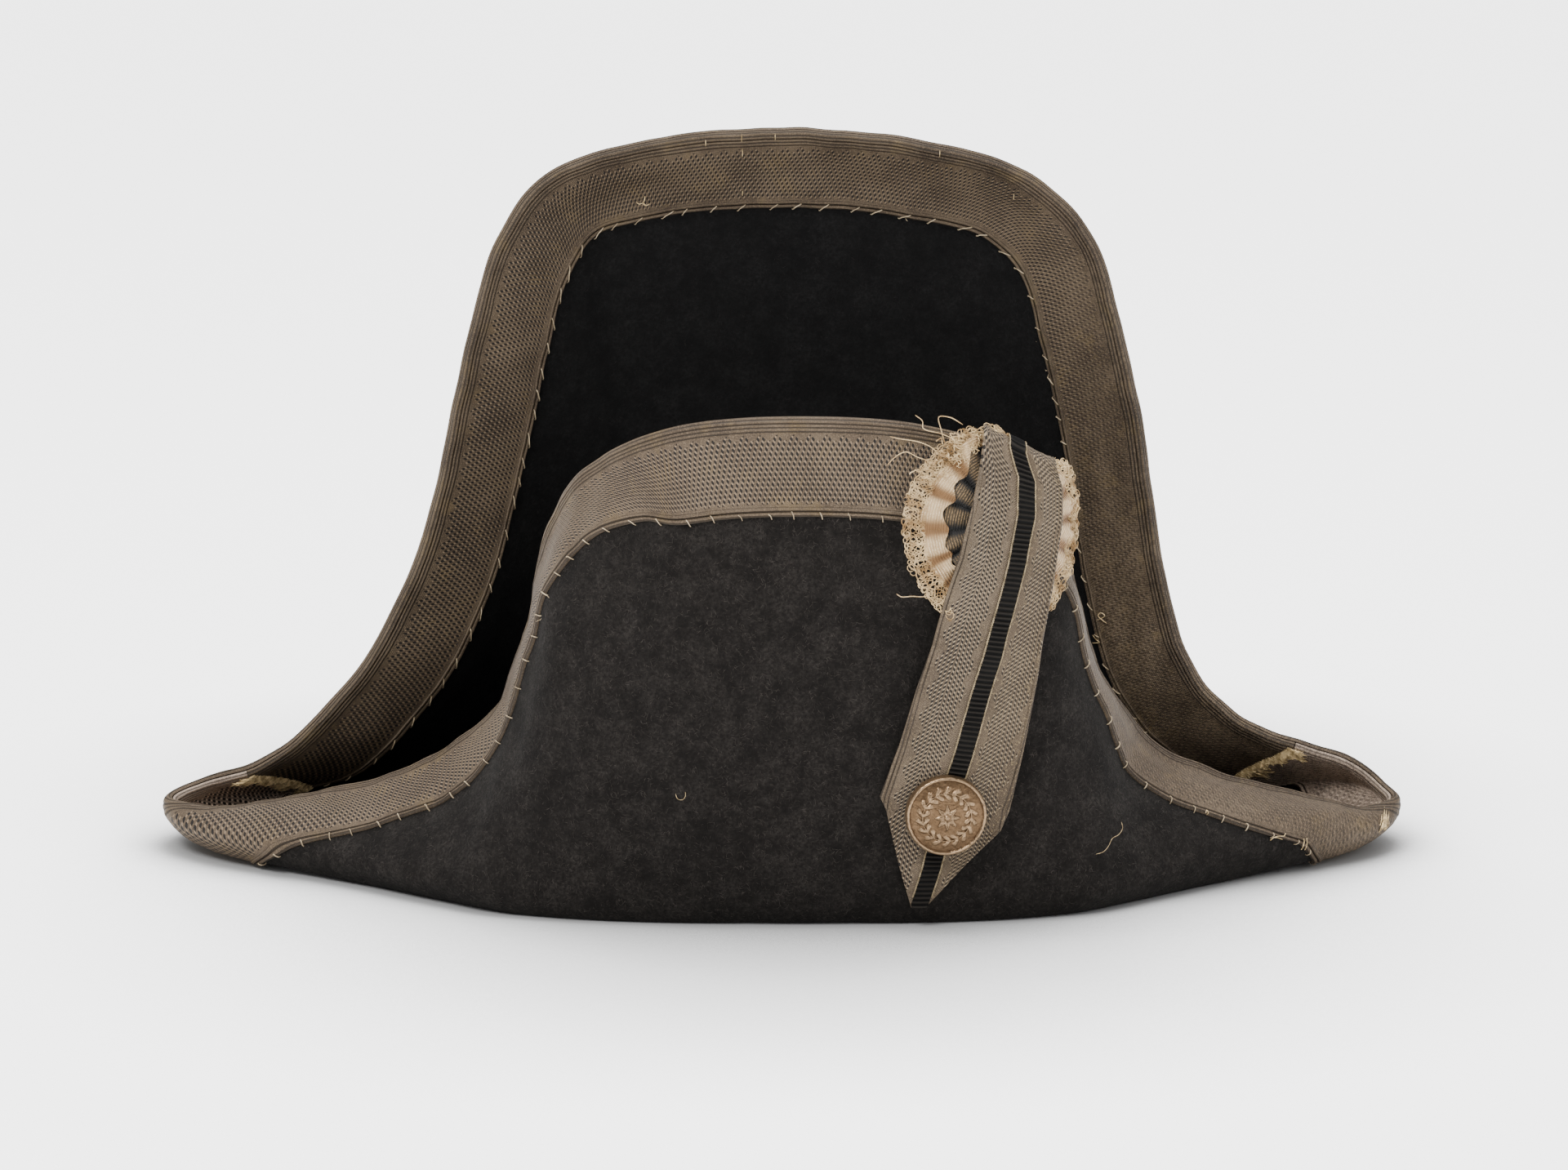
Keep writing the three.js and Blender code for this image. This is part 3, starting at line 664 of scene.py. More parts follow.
def felt_look(name, dark, light, sheen):
    look = Look(name)
    mottle = look.line(look.noise(3.2, 5, 0.7), 0.45, look.times(look.noise(11, 6, 0.65), 0.6))
    nap = look.noise(1.1, 4, 0.7)
    fibre = look.noise(0.45, 3, 0.8, (1, 1, 0.35))
    share = look.times(look.steps(mottle, 0.35, 0.75), look.steps(nap, 0.25, 0.8))
    normal = look.bump(fibre, 0.35, 0.6, look.bump(nap, 0.5, 0.7))
    return look.finish(look.mix(share, dark, light), 0.95, normal, 0.0, sheen, 0.08)


def lace_look(name, dark, light, gold, wear):
    """Metal lace: slanting rows of small holes between ribbed selvedges, tarnished to taupe.

    Far out on the right arm the holes fade into a crepe of short squiggles.
    """
    look = Look(name)
    slanted = look.times(look.line(look.across, HOLE_SLANT, look.along), 1 / HOLE_SPACING)
    first = look.line(look.across, 1 / HOLE_ROWS, slanted)
    second = look.line(look.across, -1 / HOLE_ROWS, slanted)
    holes = look.steps(look.times(look.wave(first, 1), look.wave(second, 1)), 0.26, 0.45)
    glints = look.steps(look.times(look.wave(first, 1, math.pi), look.wave(second, 1)), 0.40, 0.75)
    crepe = look.steps(look.split(look.place)[0], CREPE_START * MM, CREPE_END * MM)
    tooth = look.fold(look.along, 3 * HOLE_SPACING)
    top = look.steps(look.line(tooth, -2.2, look.across), RIM_SELVEDGE + 0.1, RIM_SELVEDGE + 0.6)
    low_edge = LACE_WIDTH - LOW_SELVEDGE
    low = look.steps(look.line(tooth, 1.2, look.across), low_edge - 0.1, low_edge - 0.7)
    field = look.times(look.times(top, low), look.line(crepe, -0.6, 1.0))
    holes = look.times(holes, field)
    glints = look.times(glints, field)
    # Painted shade: dark lines in the grooves between the cords of the selvedges.
    rim_groove_shade = look.times(
        look.wave(look.across, 1.4, 1.2), look.steps(look.across, RIM_SELVEDGE, RIM_SELVEDGE - 0.4))
    low_groove_shade = look.times(
        look.wave(look.across, 1.6, -1.3), look.steps(look.across, low_edge, low_edge + 0.3))
    painted_groove_shade = look.steps(look.calc("ADD", rim_groove_shade, low_groove_shade), 0.55, 0.95)
    worn = look.steps(look.noise(11, 5, 0.62), 0.52, 0.70)
    squiggles = look.times(look.steps(look.noise(1.3, 2, 0.5, (1, 0.6, 0.6)), 0.47, 0.56), crepe)
    color = look.mix(look.steps(look.noise(24, 5, 0.6), 0.3, 0.7), dark, light)
    color = look.tint(color, worn, wear, gold)
    color = look.tint(color, squiggles, 0.5, scaled(dark, 0.5))
    color = look.tint(color, glints, 0.7, scaled(light, 2.6))
    color = look.tint(color, look.steps(look.noise(0.45, 2), 0.45, 0.7), 0.5, scaled(light, 1.9))
    color = look.tint(color, painted_groove_shade, 0.72, scaled(dark, 0.2))
    color = look.tint(color, holes, 0.94, HOLE_BLACK)
    weave = look.times(look.times(look.wave(look.along, 0.8), look.wave(look.across, 0.7)), 0.4)
    height = look.calc("SUBTRACT", weave, look.calc("MAXIMUM", holes, painted_groove_shade))
    return look.finish(color, 0.62, look.bump(height, 0.35), 0.15, 0.0, 0.25)


def plain_look(name, dark, light, size, roughness, depth=0.2, metallic=0.0, sheen=0.0, specular=0.4):
    look = Look(name)
    grain = look.noise(size, 4, 0.65)
    color = look.mix(look.steps(grain, 0.3, 0.7), dark, light)
    return look.finish(color, roughness, look.bump(grain, depth), metallic, sheen, specular)


def pleated_look(name, valley, crest, glint, ribs):
    """Ribbed ribbon in pleats, with painted shade in the valleys and painted highlights on the crests; the
    surface coordinates are the height of the pleat and the radius.
    """
    look = Look(name)
    weave = look.wave(look.across, ribs)
    # Painted shade: darker in the pleats' valleys, lighter on the crests, with a random tone over it.
    tone = look.times(look.steps(look.along, 0.25, 0.9), look.steps(look.noise(5, 4), 0.15, 0.6))
    # Painted highlights along the ribs of the crests.
    shine = look.times(look.steps(weave, 0.4, 0.9), look.steps(look.along, 0.35, 1.0))
    color = look.mix(tone, valley, crest)
    color = look.tint(color, shine, look.steps(look.noise(0.6, 2), 0.35, 0.6), glint)
    return look.finish(color, 0.8, look.bump(weave, 0.35, 0.9), 0.0, 0.15)


def ribbon_look():
    look = Look("corded_ribbon")
    cord = look.wave(look.along, 1.7)
    # Painted shade: the colour is darker between the ribbon's cords.
    color = look.mix(look.steps(cord, 0.1, 0.9), (0.0011, 0.0010, 0.0009), (0.0135, 0.0115, 0.0095))
    return look.finish(color, 0.7, look.bump(cord, 0.6), 0.0, 0.0, 0.1)


def loop_look():
    """The loop's lace: zigzag rows of holes in toothed fields on both sides of the ribbon."""
    look = Look("loop_lace")
    right = look.steps(look.across, -0.01, 0.01)
    chevron = look.calc("ADD", look.along, look.times(look.fold(look.across, ZIGZAG_WIDTH), ZIGZAG_SLOPE))
    dots = look.wave(look.across, LOOP_HOLE_ROWS)
    holes = look.steps(look.times(look.wave(chevron, LOOP_HOLE_SPACING), dots), 0.27, 0.48)
    glints = look.steps(look.times(look.wave(chevron, LOOP_HOLE_SPACING, math.pi), dots), 0.42, 0.75)
    inside = look.calc("ABSOLUTE", look.across)
    tooth = look.fold(look.along, LOOP_TOOTH)
    past_start = look.calc("SUBTRACT", inside, look.line(tooth, 2.4, LOOP_FIELD[0]))
    before_end = look.calc("SUBTRACT", look.line(tooth, -3.4, LOOP_FIELD[1]), inside)
    field = look.times(look.steps(past_start, 0, 0.4), look.steps(before_end, 0, 0.4))
    field = look.times(field, look.line(right, -0.15, 1.0))
    holes = look.times(holes, field)
    glints = look.times(glints, field)
    # Painted shade: dark lines in the grooves between the cords of the loop's selvedges.
    selvedge_groove_shade = look.times(look.wave(inside, 1.5, 0.6), look.steps(inside, 19.4, 19.6))
    selvedge_groove_shade = look.times(look.steps(selvedge_groove_shade, 0.6, 0.95), 0.7)
    tarnish = look.steps(look.noise(16, 5, 0.6), 0.3, 0.7)
    color = look.mix(tarnish, (0.056, 0.040, 0.026), (0.106, 0.078, 0.052))
    color = look.tint(color, look.steps(look.noise(0.45, 2), 0.45, 0.7), 0.45, (0.19, 0.147, 0.10))
    color = look.tint(color, right, 0.35, (0.070, 0.049, 0.028))
    glitter = look.steps(look.noise(0.8, 1), 0.60, 0.68)
    color = look.tint(color, glitter, look.line(right, 0.16, 0.12), (0.40, 0.30, 0.16))
    color = look.tint(color, glints, 0.7, (0.33, 0.255, 0.165))
    color = look.mix(selvedge_groove_shade, color, (0.018, 0.014, 0.011))
    color = look.tint(color, holes, 0.94, HOLE_BLACK)
    weave = look.times(look.wave(chevron, LOOP_HOLE_SPACING / 2), 0.4)
    height = look.calc("SUBTRACT", weave, look.calc("MAXIMUM", holes, selvedge_groove_shade))
    return look.finish(color, 0.62, look.bump(height, 0.35), 0.15, 0.0, 0.25)


def button_look():
    """Worn gilt copper; the first surface coordinate is the relief's height in millimetres."""
    look = Look("gilt_copper")
    raised = look.steps(look.line(look.noise(2.5, 4, 0.6), 0.5, look.along), 0.2, 0.75)
    color = look.mix(raised, (0.100, 0.060, 0.031), (0.27, 0.183, 0.107))
    color = look.tint(color, look.steps(look.noise(0.9, 3, 0.6), 0.56, 0.64), 0.6, (0.050, 0.030, 0.016))
    color = look.tint(color, look.steps(look.noise(3.2, 5, 0.65), 0.48, 0.66), 0.5, (0.17, 0.105, 0.058))
    rough = look.line(look.noise(1.2, 3), 0.25, 0.20)
    dents = look.bump(look.noise(1.4, 2), 0.35, 0.8)
    return look.finish(color, rough, look.bump(look.noise(0.6, 3), 0.10, 0.6, dents), 0.92)


FELT_OUTER = felt_look("felt_outer", (0.0052, 0.0046, 0.0041), (0.0290, 0.0255, 0.0228), 0.02)
FELT_INNER = felt_look("felt_inner", (0.0036, 0.0035, 0.0035), (0.0125, 0.0121, 0.0119), 0.01)
LACE_LOOK = lace_look("metal_lace", (0.044, 0.030, 0.0185), (0.090, 0.065, 0.042), (0.125, 0.086, 0.038), 0.4)
DARK_LACE = lace_look(
    "tarnished_lace", (0.030, 0.020, 0.012), (0.078, 0.056, 0.035), (0.13, 0.090, 0.040), 0.4)
# A lighter copy of the lace for the front band's inner side: partly less tarnish, partly painted light in the
# shaded hollows of the tips.
PAINTED_LIGHT_LACE = lace_look(
    "front_inner_lace_painted_light", (0.150, 0.112, 0.084), (0.270, 0.210, 0.163), (0.26, 0.190, 0.100), 0.2)
CREAM = plain_look("cream_thread", (0.22, 0.125, 0.045), (0.56, 0.415, 0.225), 5.0, 0.85, 0.15, 0.0, 0.1)
STITCH = plain_look("stitch_thread", (0.20, 0.15, 0.09), (0.40, 0.32, 0.21), 3.0, 0.8)
GOLD = plain_look("frayed_gold", (0.20, 0.135, 0.055), (0.72, 0.55, 0.30), 2.0, 0.55, 0.1, 0.2)
EDGE_THREAD = plain_look("edge_thread", (0.12, 0.088, 0.045), (0.31, 0.24, 0.14), 1.5, 0.7, 0.1, 0.2)
# Both pleated looks have painted shade in the valleys and painted highlights on the crests.
FAN_LOOK = pleated_look(
    "pleated_fan", (0.004, 0.0035, 0.003), (0.060, 0.040, 0.018), (0.26, 0.165, 0.075), 0.95)
BAND_LOOK = pleated_look("pleated_band", (0.17, 0.085, 0.028), (0.47, 0.32, 0.165), (0.62, 0.48, 0.30), 0.9)
RIBBON_LOOK = ribbon_look()
LOOP_LOOK = loop_look()
BUTTON_LOOK = button_look()


def dress(piece, slot, *nodes):
    """Ties a piece to the hat and hides the nodes it stands for; its slot is not used."""
    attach(piece, "root")
    if nodes:
        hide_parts(*nodes)
    return piece


# Felt

felt_middle = felt_grid(ALL_PLACES)
felt_normals = grid_normals(felt_middle, True)
felt_middle = uneven(felt_middle, felt_normals)


def make_felt():
    rows, columns = felt_middle.shape[:2]
    beyond = np.arange(1, columns - len(FELT_LACE_SHARES) + 1)
    reach = np.concatenate([FELT_LACE_SHARES * LACE_WIDTH, LACE_WIDTH + beyond])
    uv = surface(np.arange(rows)[:, None], reach[None, :])
    top = felt_middle + felt_normals * FELT / 2
    bottom = felt_middle - felt_normals * FELT / 2
    crown_top = FELT / 2 + CROWN_HEIGHT
    pole = [[BELL_SHIFT, 0, crown_top + FELT / 2], [BELL_SHIFT, 0, crown_top - FELT / 2]]
    piece = solid_object("felt", top, bottom, FELT_OUTER, uv, True, pole)
    piece.data.materials.append(FELT_INNER)
    # The top sheet faces inwards. So do its pole's triangles, the second of every three later faces.
    inner_count = rows * (columns - 1)
    indices = np.zeros(len(piece.data.polygons), np.int32)
    indices[:inner_count] = 1
    indices[2 * inner_count + 1::3] = 1
    piece.data.polygons.foreach_set("material_index", indices)
    return dress(piece, "felt", "felt_body")


felt = make_felt()

# Lace bands

LACE_BODY = LACE * 0.7
LACE_RIBS = (
    (0.2, 1.5, 0.28), (1.6, 2.9, 0.28), (3.0, 4.3, 0.25),
    (LACE_WIDTH - 3.2, LACE_WIDTH - 1.7, 0.5), (LACE_WIDTH - 1.6, LACE_WIDTH - 0.1, 0.6))
JOINT_MARGIN = 0.003
SLACK = {"scale": 16, "amount": 0.12, "seed": 9}
SLACK_LIMITS = (-0.1, 0.4)

# The lace's fold over the rim: shares of its thickness beyond the rim with heights over the felt's middle,
# heights of its inner side, and surface coordinates that run on from the band's.

LIP_OUTSIDE = ((0.8, 0.1), (1.0, 0.9), (0.75, 1.9))
LIP_INSIDE = (0.1, 0.9, 1.5)
LIP_ACROSS = (-2.6, -1.8, -0.9)


def rib(v, start, end, height):
    """A half-round cord across a band, from start to end."""
    share = np.clip((v - start) / (end - start), 0, 1)
    return height * np.sqrt(np.clip(1 - (2 * share - 1) ** 2, 0, 1)) * ((v > start) & (v < end))


def places_between(first, last):
    end = last if last > first else last + STATION_COUNT
    both = np.concatenate([ALL_PLACES, ALL_PLACES + STATION_COUNT])
    first += JOINT_MARGIN
    end -= JOINT_MARGIN
    return np.concatenate([[first], both[(both > first) & (both < end)], [end]])


def place_in(marks, value):
    """The place of a value in a rising row of marks, just short of the last one at most."""
    return min(np.interp(value, marks, np.arange(len(marks))), len(marks) - 1.001)


class Band:
    """A lace band's surface, read at a distance along its lower edge and one in from the rim."""

    def __init__(self, grid, normals, face):
        self.grid = grid
        self.normals = normals
        self.face = face
        self.along = distances(grid[:, -1])

    def point(self, along, across, height):
        row = place_in(self.along, along)
        column = place_in(LACE_COLUMNS, across)
        i, j = int(row), int(column)
        values = []
        for source in (self.grid, self.normals):
            ends = [lerp(source[i + k, j], source[i + k, j + 1], column - j) for k in (0, 1)]
            values.append(lerp(ends[0], ends[1], row - i))
        beyond = max(across - LACE_WIDTH, 0)
        inward = unit(self.grid[i, -1] - self.grid[i, -4])
        return values[0] + inward * beyond + self.face * values[1] * height


def make_band(name, places, face, node, look, slanted):
    grid = lace_grid(places, slanted)
    normals = grid_normals(grid, False)
    grid = uneven(grid, normals)
    outward = unit(np.cross(normals[:, 0], np.gradient(grid[:, 0], axis=0)))

    def lip(beyond, height):
        return grid[:, 0] + outward * beyond + face * normals[:, 0] * height

    near = FELT / 2 + LACE_GAP
    relief = sum(rib(LACE_COLUMNS, *cord) for cord in LACE_RIBS)[None, :, None]
    slack = np.clip(wobble(grid, **SLACK), *SLACK_LIMITS)[..., None]
    outer_rows = grid + face * normals * (near + LACE_BODY + relief + slack)
    inner_rows = grid + face * normals * near
    outer_lip = [lip(LACE_GAP + LACE * share, height) for share, height in LIP_OUTSIDE]
    inner_lip = [lip(LACE_GAP, height) for height in LIP_INSIDE]
    top = np.concatenate([np.stack(outer_lip, axis=1), outer_rows], axis=1)
    bottom = np.concatenate([np.stack(inner_lip, axis=1), inner_rows], axis=1)
    across = np.concatenate([LIP_ACROSS, LACE_COLUMNS])
    uv = surface(distances(grid[:, 0])[:, None], across[None, :])
    if face < 0:
        top, bottom = bottom, top
    dress(solid_object(name, top, bottom, look, uv), "lace", node)
    return Band(grid, normals, face)


joint_left = LACE_JOINT
joint_right = STATION_COUNT - LACE_JOINT
front_places = places_between(joint_right, joint_left)
back_places = places_between(joint_left, joint_right)
front_outer = make_band("band_front_outer", front_places, -1, "lace_front_outer", LACE_LOOK, False)
front_inner = make_band("band_front_inner", front_places, 1, "lace_front_inner", PAINTED_LIGHT_LACE, True)
back_outer = make_band("band_back_outer", back_places, -1, "lace_back_outer", LACE_LOOK, False)
back_inner = make_band("band_back_inner", back_places, 1, "lace_back_inner", DARK_LACE, True)

# Stitches and frayed ends of the lace

STITCH_SPACING = 9.6
STITCH_START = 4.0
STITCH_END = 3.0
OPEN_STITCHES = 0.12
OPEN_SHIFT = (0, -0.4, 0.3)
OPEN_RADIUS = 0.13


def make_stitches(name, bands):
    """Overcast stitches along the bands' lower edges, some of them with a free end."""
    threads = Threads()
    lift = FELT / 2 + LACE_BODY + LACE_GAP
    for band, lean, length in bands:
        along = STITCH_START
        while along < band.along[-1] - STITCH_END:
            slant = lean * random.uniform(0.6, 1.3)
            reach = length * random.uniform(0.7, 1.2)
            path = [
                band.point(along, LACE_WIDTH + 0.9, FELT / 2 - 0.3),
                band.point(along + 0.1 * slant, LACE_WIDTH + 0.6, FELT / 2 + 0.9),
                band.point(along + 0.35 * slant, LACE_WIDTH - 0.3 * reach, lift + 0.85),
                band.point(along + 0.75 * slant, LACE_WIDTH - 0.75 * reach, lift + 0.75),
                band.point(along + slant, LACE_WIDTH - reach, lift - 0.1)]
            threads.add(curve(path, 3), random.uniform(0.15, 0.25))
            if random.random() < OPEN_STITCHES:
                free = path[0] + random.normal(0, 1.0, (4, 3)).cumsum(axis=0) * 0.8 + OPEN_SHIFT
                threads.add(curve(np.vstack([path[1], free]), 3), OPEN_RADIUS)
            along += STITCH_SPACING * random.uniform(0.75, 1.3)
    dress(threads.object(name, STITCH), "lace")


make_stitches("lace_stitches", [
    (front_outer, 1.3, 1.6), (back_inner, 4.4, 2.2), (front_inner, 2.0, 1.8), (back_outer, 1.5, 1.6)])

FRAYED_THREADS = 600
FRAYED_REACH = (1.2, 4.4)
FRAYED_RADII = (0.12, 0.23)


def make_frayed_ends():
    """Where the back band ends over the tips its metal threads stand out in a fringe."""
    threads = Threads(4)
    for row, step in ((0, 1), (-1, -1)):
        line = back_inner.grid[row]
        direction = unit(line - back_inner.grid[row + step])
        normal = back_inner.normals[row]
        for _ in range(FRAYED_THREADS):
            column = random.beta(1.1, 1.3) * (len(line) - 2)
            j = int(column)
            start = lerp(line[j], line[j + 1], column - j)
            thick = 1 + 0.6 * math.sin(column * 0.9) + 0.5 * math.sin(column * 0.37 + row)
            reach = random.uniform(*FRAYED_REACH) * max(thick, 0.4)
            base = FELT / 2 + LACE
            wander = random.normal(0, 0.5, 3)
            path = [
                start - direction[j] * random.uniform(0.5, 2.2) + normal[j] * base,
                start + normal[j] * (base + random.uniform(0.3, 0.9)),
                (start + direction[j] * reach * 0.6 + normal[j] * (base + random.uniform(0.3, 1.3))
                 + wander * 0.5),
                start + direction[j] * reach + normal[j] * (base + random.uniform(-0.2, 0.9)) + wander]
            threads.add(curve(path, 2), random.uniform(*FRAYED_RADII))
    dress(threads.object("frayed_ends", GOLD), "lace")


make_frayed_ends()

# Loose threads: a place across and up, then the thread's points as offsets from it to the right, up and
# towards the viewer. A tick on the rim is a place and a length.

LOOSE_ON_FRONT = (
    ((188.6, 12.6), ((0, 1.2, 0.2), (0.1, 0.4, 0.8), (-0.3, -1.6, 1.2), (-0.8, -3.2, 1.2))),
    ((189.8, 12.4), ((0, 1.2, 0.2), (0.1, 0.4, 0.8), (-0.2, -1.6, 1.3), (-0.7, -3.0, 1.4))),
    ((178.4, 15.8),
     ((-2.6, -0.8, 0.4), (-1.4, 0.4, 1.0), (0.6, 0.9, 1.2), (2.4, 0.6, 1.4), (3.0, 1.4, 1.0))),
    ((177.6, 15.5), ((-2.0, -0.4, 0.4), (-0.8, 0.8, 1.2), (1.2, 0.5, 1.2), (2.6, -0.2, 1.6))),
    ((152.0, 27.0), ((0, -0.6, 0.3), (0.5, 0.4, 1.2), (0.1, 1.2, 1.6), (-0.5, 0.5, 1.4))),
)
LOOSE_ON_FELT = (
    ((116.6, 25.0), ((3.2, 5.2, 0.3), (3.6, 3.4, 0.8), (2.2, 1.6, 0.8), (-0.4, 0.8, 0.8), (-1.8, -1.4, 0.9),
                     (-3.6, -3.0, 0.6), (-6.4, -3.4, 0.5))),
    ((-33.6, 46.4),
     ((-1.8, 0.8, 0.4), (-1.0, -0.8, 0.8), (0.6, -1.0, 0.8), (1.6, 0.2, 0.9), (1.6, 1.6, 0.5))))
LOOSE_ON_BACK = (
    ((122.0, 73.5), ((-1.0, -1.6, 0.2), (0.4, -0.6, 1.4), (1.6, 0.8, 1.8), (0.2, 1.6, 1.6), (-0.8, 0.4, 1.8),
                     (0.8, -1.2, 1.6), (2.4, -2.2, 1.2))),
    ((120.4, 64.0),
     ((-0.8, 1.2, 0.3), (0.2, 0.2, 1.4), (1.4, -0.4, 1.6), (0.4, -1.4, 1.2), (-0.8, -2.4, 0.8))),
    ((-51.5, 228.4),
     ((-2.4, 0.4, 0.3), (-1.4, -0.2, 1.4), (0.2, 0.2, 1.8), (1.2, -0.8, 1.6), (2.6, -0.2, 1.2))),
    ((-51.0, 229.2), ((0.3, 2.0, 0.3), (0.1, 0.6, 1.6), (-0.4, -0.8, 1.6), (0.6, -1.8, 1.4))))
RIM_TICKS = (
    ((-27.5, 252.2), 2.4), ((-14.0, 254.2), 3.2), ((-1.5, 254.6), 2.6), ((-13.8, 248.4), 3.4),
    ((-13.9, 232.0), 2.0), ((60.0, 248.5), 2.6), ((88.0, 232.0), 2.4))
TICK_SHARES = (0.5, 0.2, -0.2, -0.5)
TICK_PROUD = (0.1, 0.3, 0.3, 0.1)
WORN_PATCH = (221.6, 12.6)
WORN_SPREAD = (0.8, 1.2)
WORN_THREADS = 70
WORN_LENGTHS = (1.6, 3.0)
WORN_SLANT = 0.35
WORN_SHARES = (-0.5, 0, 0.5)
WORN_PROUD = (0.05, 0.35, 0.05)

# Where a look straight back for a surface starts

BEFORE_HAT = -400
BETWEEN_FLAPS = -20


def point_behind(tree, across, up, start):
    """The first point of a piece straight behind a place, or None."""
    return tree.ray_cast(Vector((across, start, up)), Vector((0, 1, 0)))[0]


def make_loose_threads():
    threads = Threads(4)
    front = ([tree_of(bpy.data.objects["band_front_outer"]), tree_of(felt)], BEFORE_HAT)
    back = ([tree_of(bpy.data.objects["band_back_inner"]), tree_of(felt)], BETWEEN_FLAPS)

    def nearest(side, across, up):
        trees, start = side
        hits = [point_behind(tree, across, up, start) for tree in trees]
        hits = [hit for hit in hits if hit is not None]
        return np.array(min(hits, key=lambda hit: hit.y)) if hits else None

    def lay(side, places, proud, radius):
        """A short straight thread that stands a little proud of the surface."""
        ends = [nearest(side, *place) for place in places]
        if all(end is not None for end in ends):
            threads.add(np.array(ends) - np.outer(proud, (0, 1, 0)), radius)

    groups = ((front, LOOSE_ON_FRONT, 0.17), (front, LOOSE_ON_FELT, 0.06), (back, LOOSE_ON_BACK, 0.17))
    for side, group, radius in groups:
        for (across, up), offsets in group:
            path = []
            for right, above, proud in offsets:
                place = nearest(side, across + right, up + above)
                if place is not None:
                    path.append(place - [0, 0.15 + proud, 0])
            if len(path) > 2:
                threads.add(curve(path, 4), radius)
    for (across, up), length in RIM_TICKS:
        lay(back, [(across, up + share * length) for share in TICK_SHARES], TICK_PROUD, 0.16)
    for _ in range(WORN_THREADS):
        across, up = np.array(WORN_PATCH) + random.normal(0, 1, 2) * WORN_SPREAD
        length = random.uniform(*WORN_LENGTHS)
        places = [(across + WORN_SLANT * share * length, up + share * length) for share in WORN_SHARES]
        lay(front, places, WORN_PROUD, 0.15)
    dress(threads.object("loose_threads", GOLD), "lace")


make_loose_threads()

# The front-most point of the pieces made so far, for laying the cockade and loop on them

CONTACT_REACH = 3.0
LOOP_REACH = 5.5
supports = [tree_of(felt), tree_of(bpy.data.objects["band_front_outer"])]


def front_around(x, z, reach):
    found = math.inf
    for aside in np.linspace(-reach, reach, 5):
        for above in np.linspace(-reach, reach, 5):
            for tree in supports:
                place = point_behind(tree, x + aside, z + above, BEFORE_HAT)
                if place is not None and place.y < 0:
                    found = min(found, place.y)
    return found


# Cockade: a pleated fan, a pleated ribbon round it and a ragged openwork edge

FAN_RADIUS = COCKADE_FAN_DIAMETER / 2
RING_RADIUS = COCKADE_DIAMETER / 2
NET_START = 0.81 * RING_RADIUS
TUCK_DEPTH = 0.36
TUCK_ANGLE = 1.12
TUCK_WIDTH = 0.5
GAP_ANGLE = 1.88
GAP_WIDTH = 0.30
FAN_CENTRE = 0.8
FAN_REACH = 9.5
FAN_THICKNESS = 0.5
RUFFLE_THICKNESS = 0.45
RUFFLE_PHASE = 0.25
cockade_push = 0.0


def round_angle(angle, middle, width):
    """1 at the middle angle, falling off smoothly on both sides."""
    return np.exp(-((np.mod(angle, 2 * math.pi) - middle) / width) ** 2)


def cockade_point(radius, angle, height):
    """A point of the bent cockade. Its edge is tucked in where the loop leaves it."""
    polar = [np.asarray(value, float) for value in (radius, angle, height)]
    radius, angle, height = np.broadcast_arrays(*polar)
    tuck = TUCK_DEPTH * round_angle(angle, TUCK_ANGLE, TUCK_WIDTH)
    tucked = 1 - tuck * np.clip(radius / RING_RADIUS, 0, 1)
    start = COCKADE_BEND_START / COCKADE_BEND
    turned = start + radius * tucked * np.cos(angle) / COCKADE_BEND
    above = radius * tucked * np.sin(angle)
    normal = unit(np.stack([np.sin(turned), -np.cos(turned), COCKADE_LEAN * np.cos(turned)], axis=-1))
    place = np.stack([
        BELL_SHIFT + COCKADE_ACROSS * HALF_LENGTH + COCKADE_BEND * (np.sin(turned) - math.sin(start)),
        COCKADE_LEAN * above - COCKADE_BEND * np.cos(turned) + cockade_push,
        COCKADE_UP * FRONT_HEIGHT + above], axis=-1)
    return place + normal * height[..., None]


def pleat(angle, sharp=0.65, phase=0.0):
    """Rounded crests with narrow valleys between them, from 0 to 1, a little uneven."""
    uneven_angle = angle + 0.05 * np.sin(3 * angle + 1) + 0.03 * np.sin(7 * angle)
    return np.abs(np.sin(COCKADE_PLEATS / 2 * uneven_angle + phase)) ** sharp


def push_back():
    """How far back the cockade goes until it touches what lies behind it."""
    angle = np.linspace(0, 2 * math.pi, 32, endpoint=False)
    room = math.inf
    for radius in (FAN_RADIUS * 0.5, FAN_RADIUS, NET_START, RING_RADIUS):
        for point in cockade_point(radius, angle, -1.2):
            room = min(room, front_around(point[0], point[2], CONTACT_REACH) - point[1])
    return room


cockade_push = push_back()


def round_sheet(name, inner, outer, height, phase, thickness, look, steps, rings, node):
    angle = -2 * math.pi * np.arange(steps) / steps
    share = np.linspace(0, 1, rings)[None, :]
    radius = outer(angle)[:, None] + (inner(angle) - outer(angle))[:, None] * share
    level = height(radius, angle[:, None])
    top = cockade_point(radius, angle[:, None], level + thickness / 2)
    bottom = cockade_point(radius, angle[:, None], level - thickness / 2)
    uv = surface(pleat(angle, 1.0, phase)[:, None], radius)
    return dress(solid_object(name, top, bottom, look, uv, True), node, node)


def upper_gap(angle):
    """Where the fan shows up to the cockade's upper edge, beside the loop."""
    return round_angle(angle, GAP_ANGLE, GAP_WIDTH)


def fan_height(radius, angle):
    folded = pleat(angle, 0.75) * (0.13 + 0.03 * np.sin(5 * angle + 2))
    return -0.8 + radius * folded + 0.1 * np.sin(radius * 1.7 + 4 * angle)


def ribbon_height(radius, angle):
    share = np.clip((radius - FAN_RADIUS) / (NET_START - FAN_RADIUS), -0.3, 1)
    curl = 0.25 * np.sin(3 * COCKADE_PLEATS * angle + 2 * radius / 3)
    return 0.9 + 2.1 * pleat(angle, 0.9, RUFFLE_PHASE) * (0.6 + 0.4 * share) + curl + 0.7 * (1 - share)


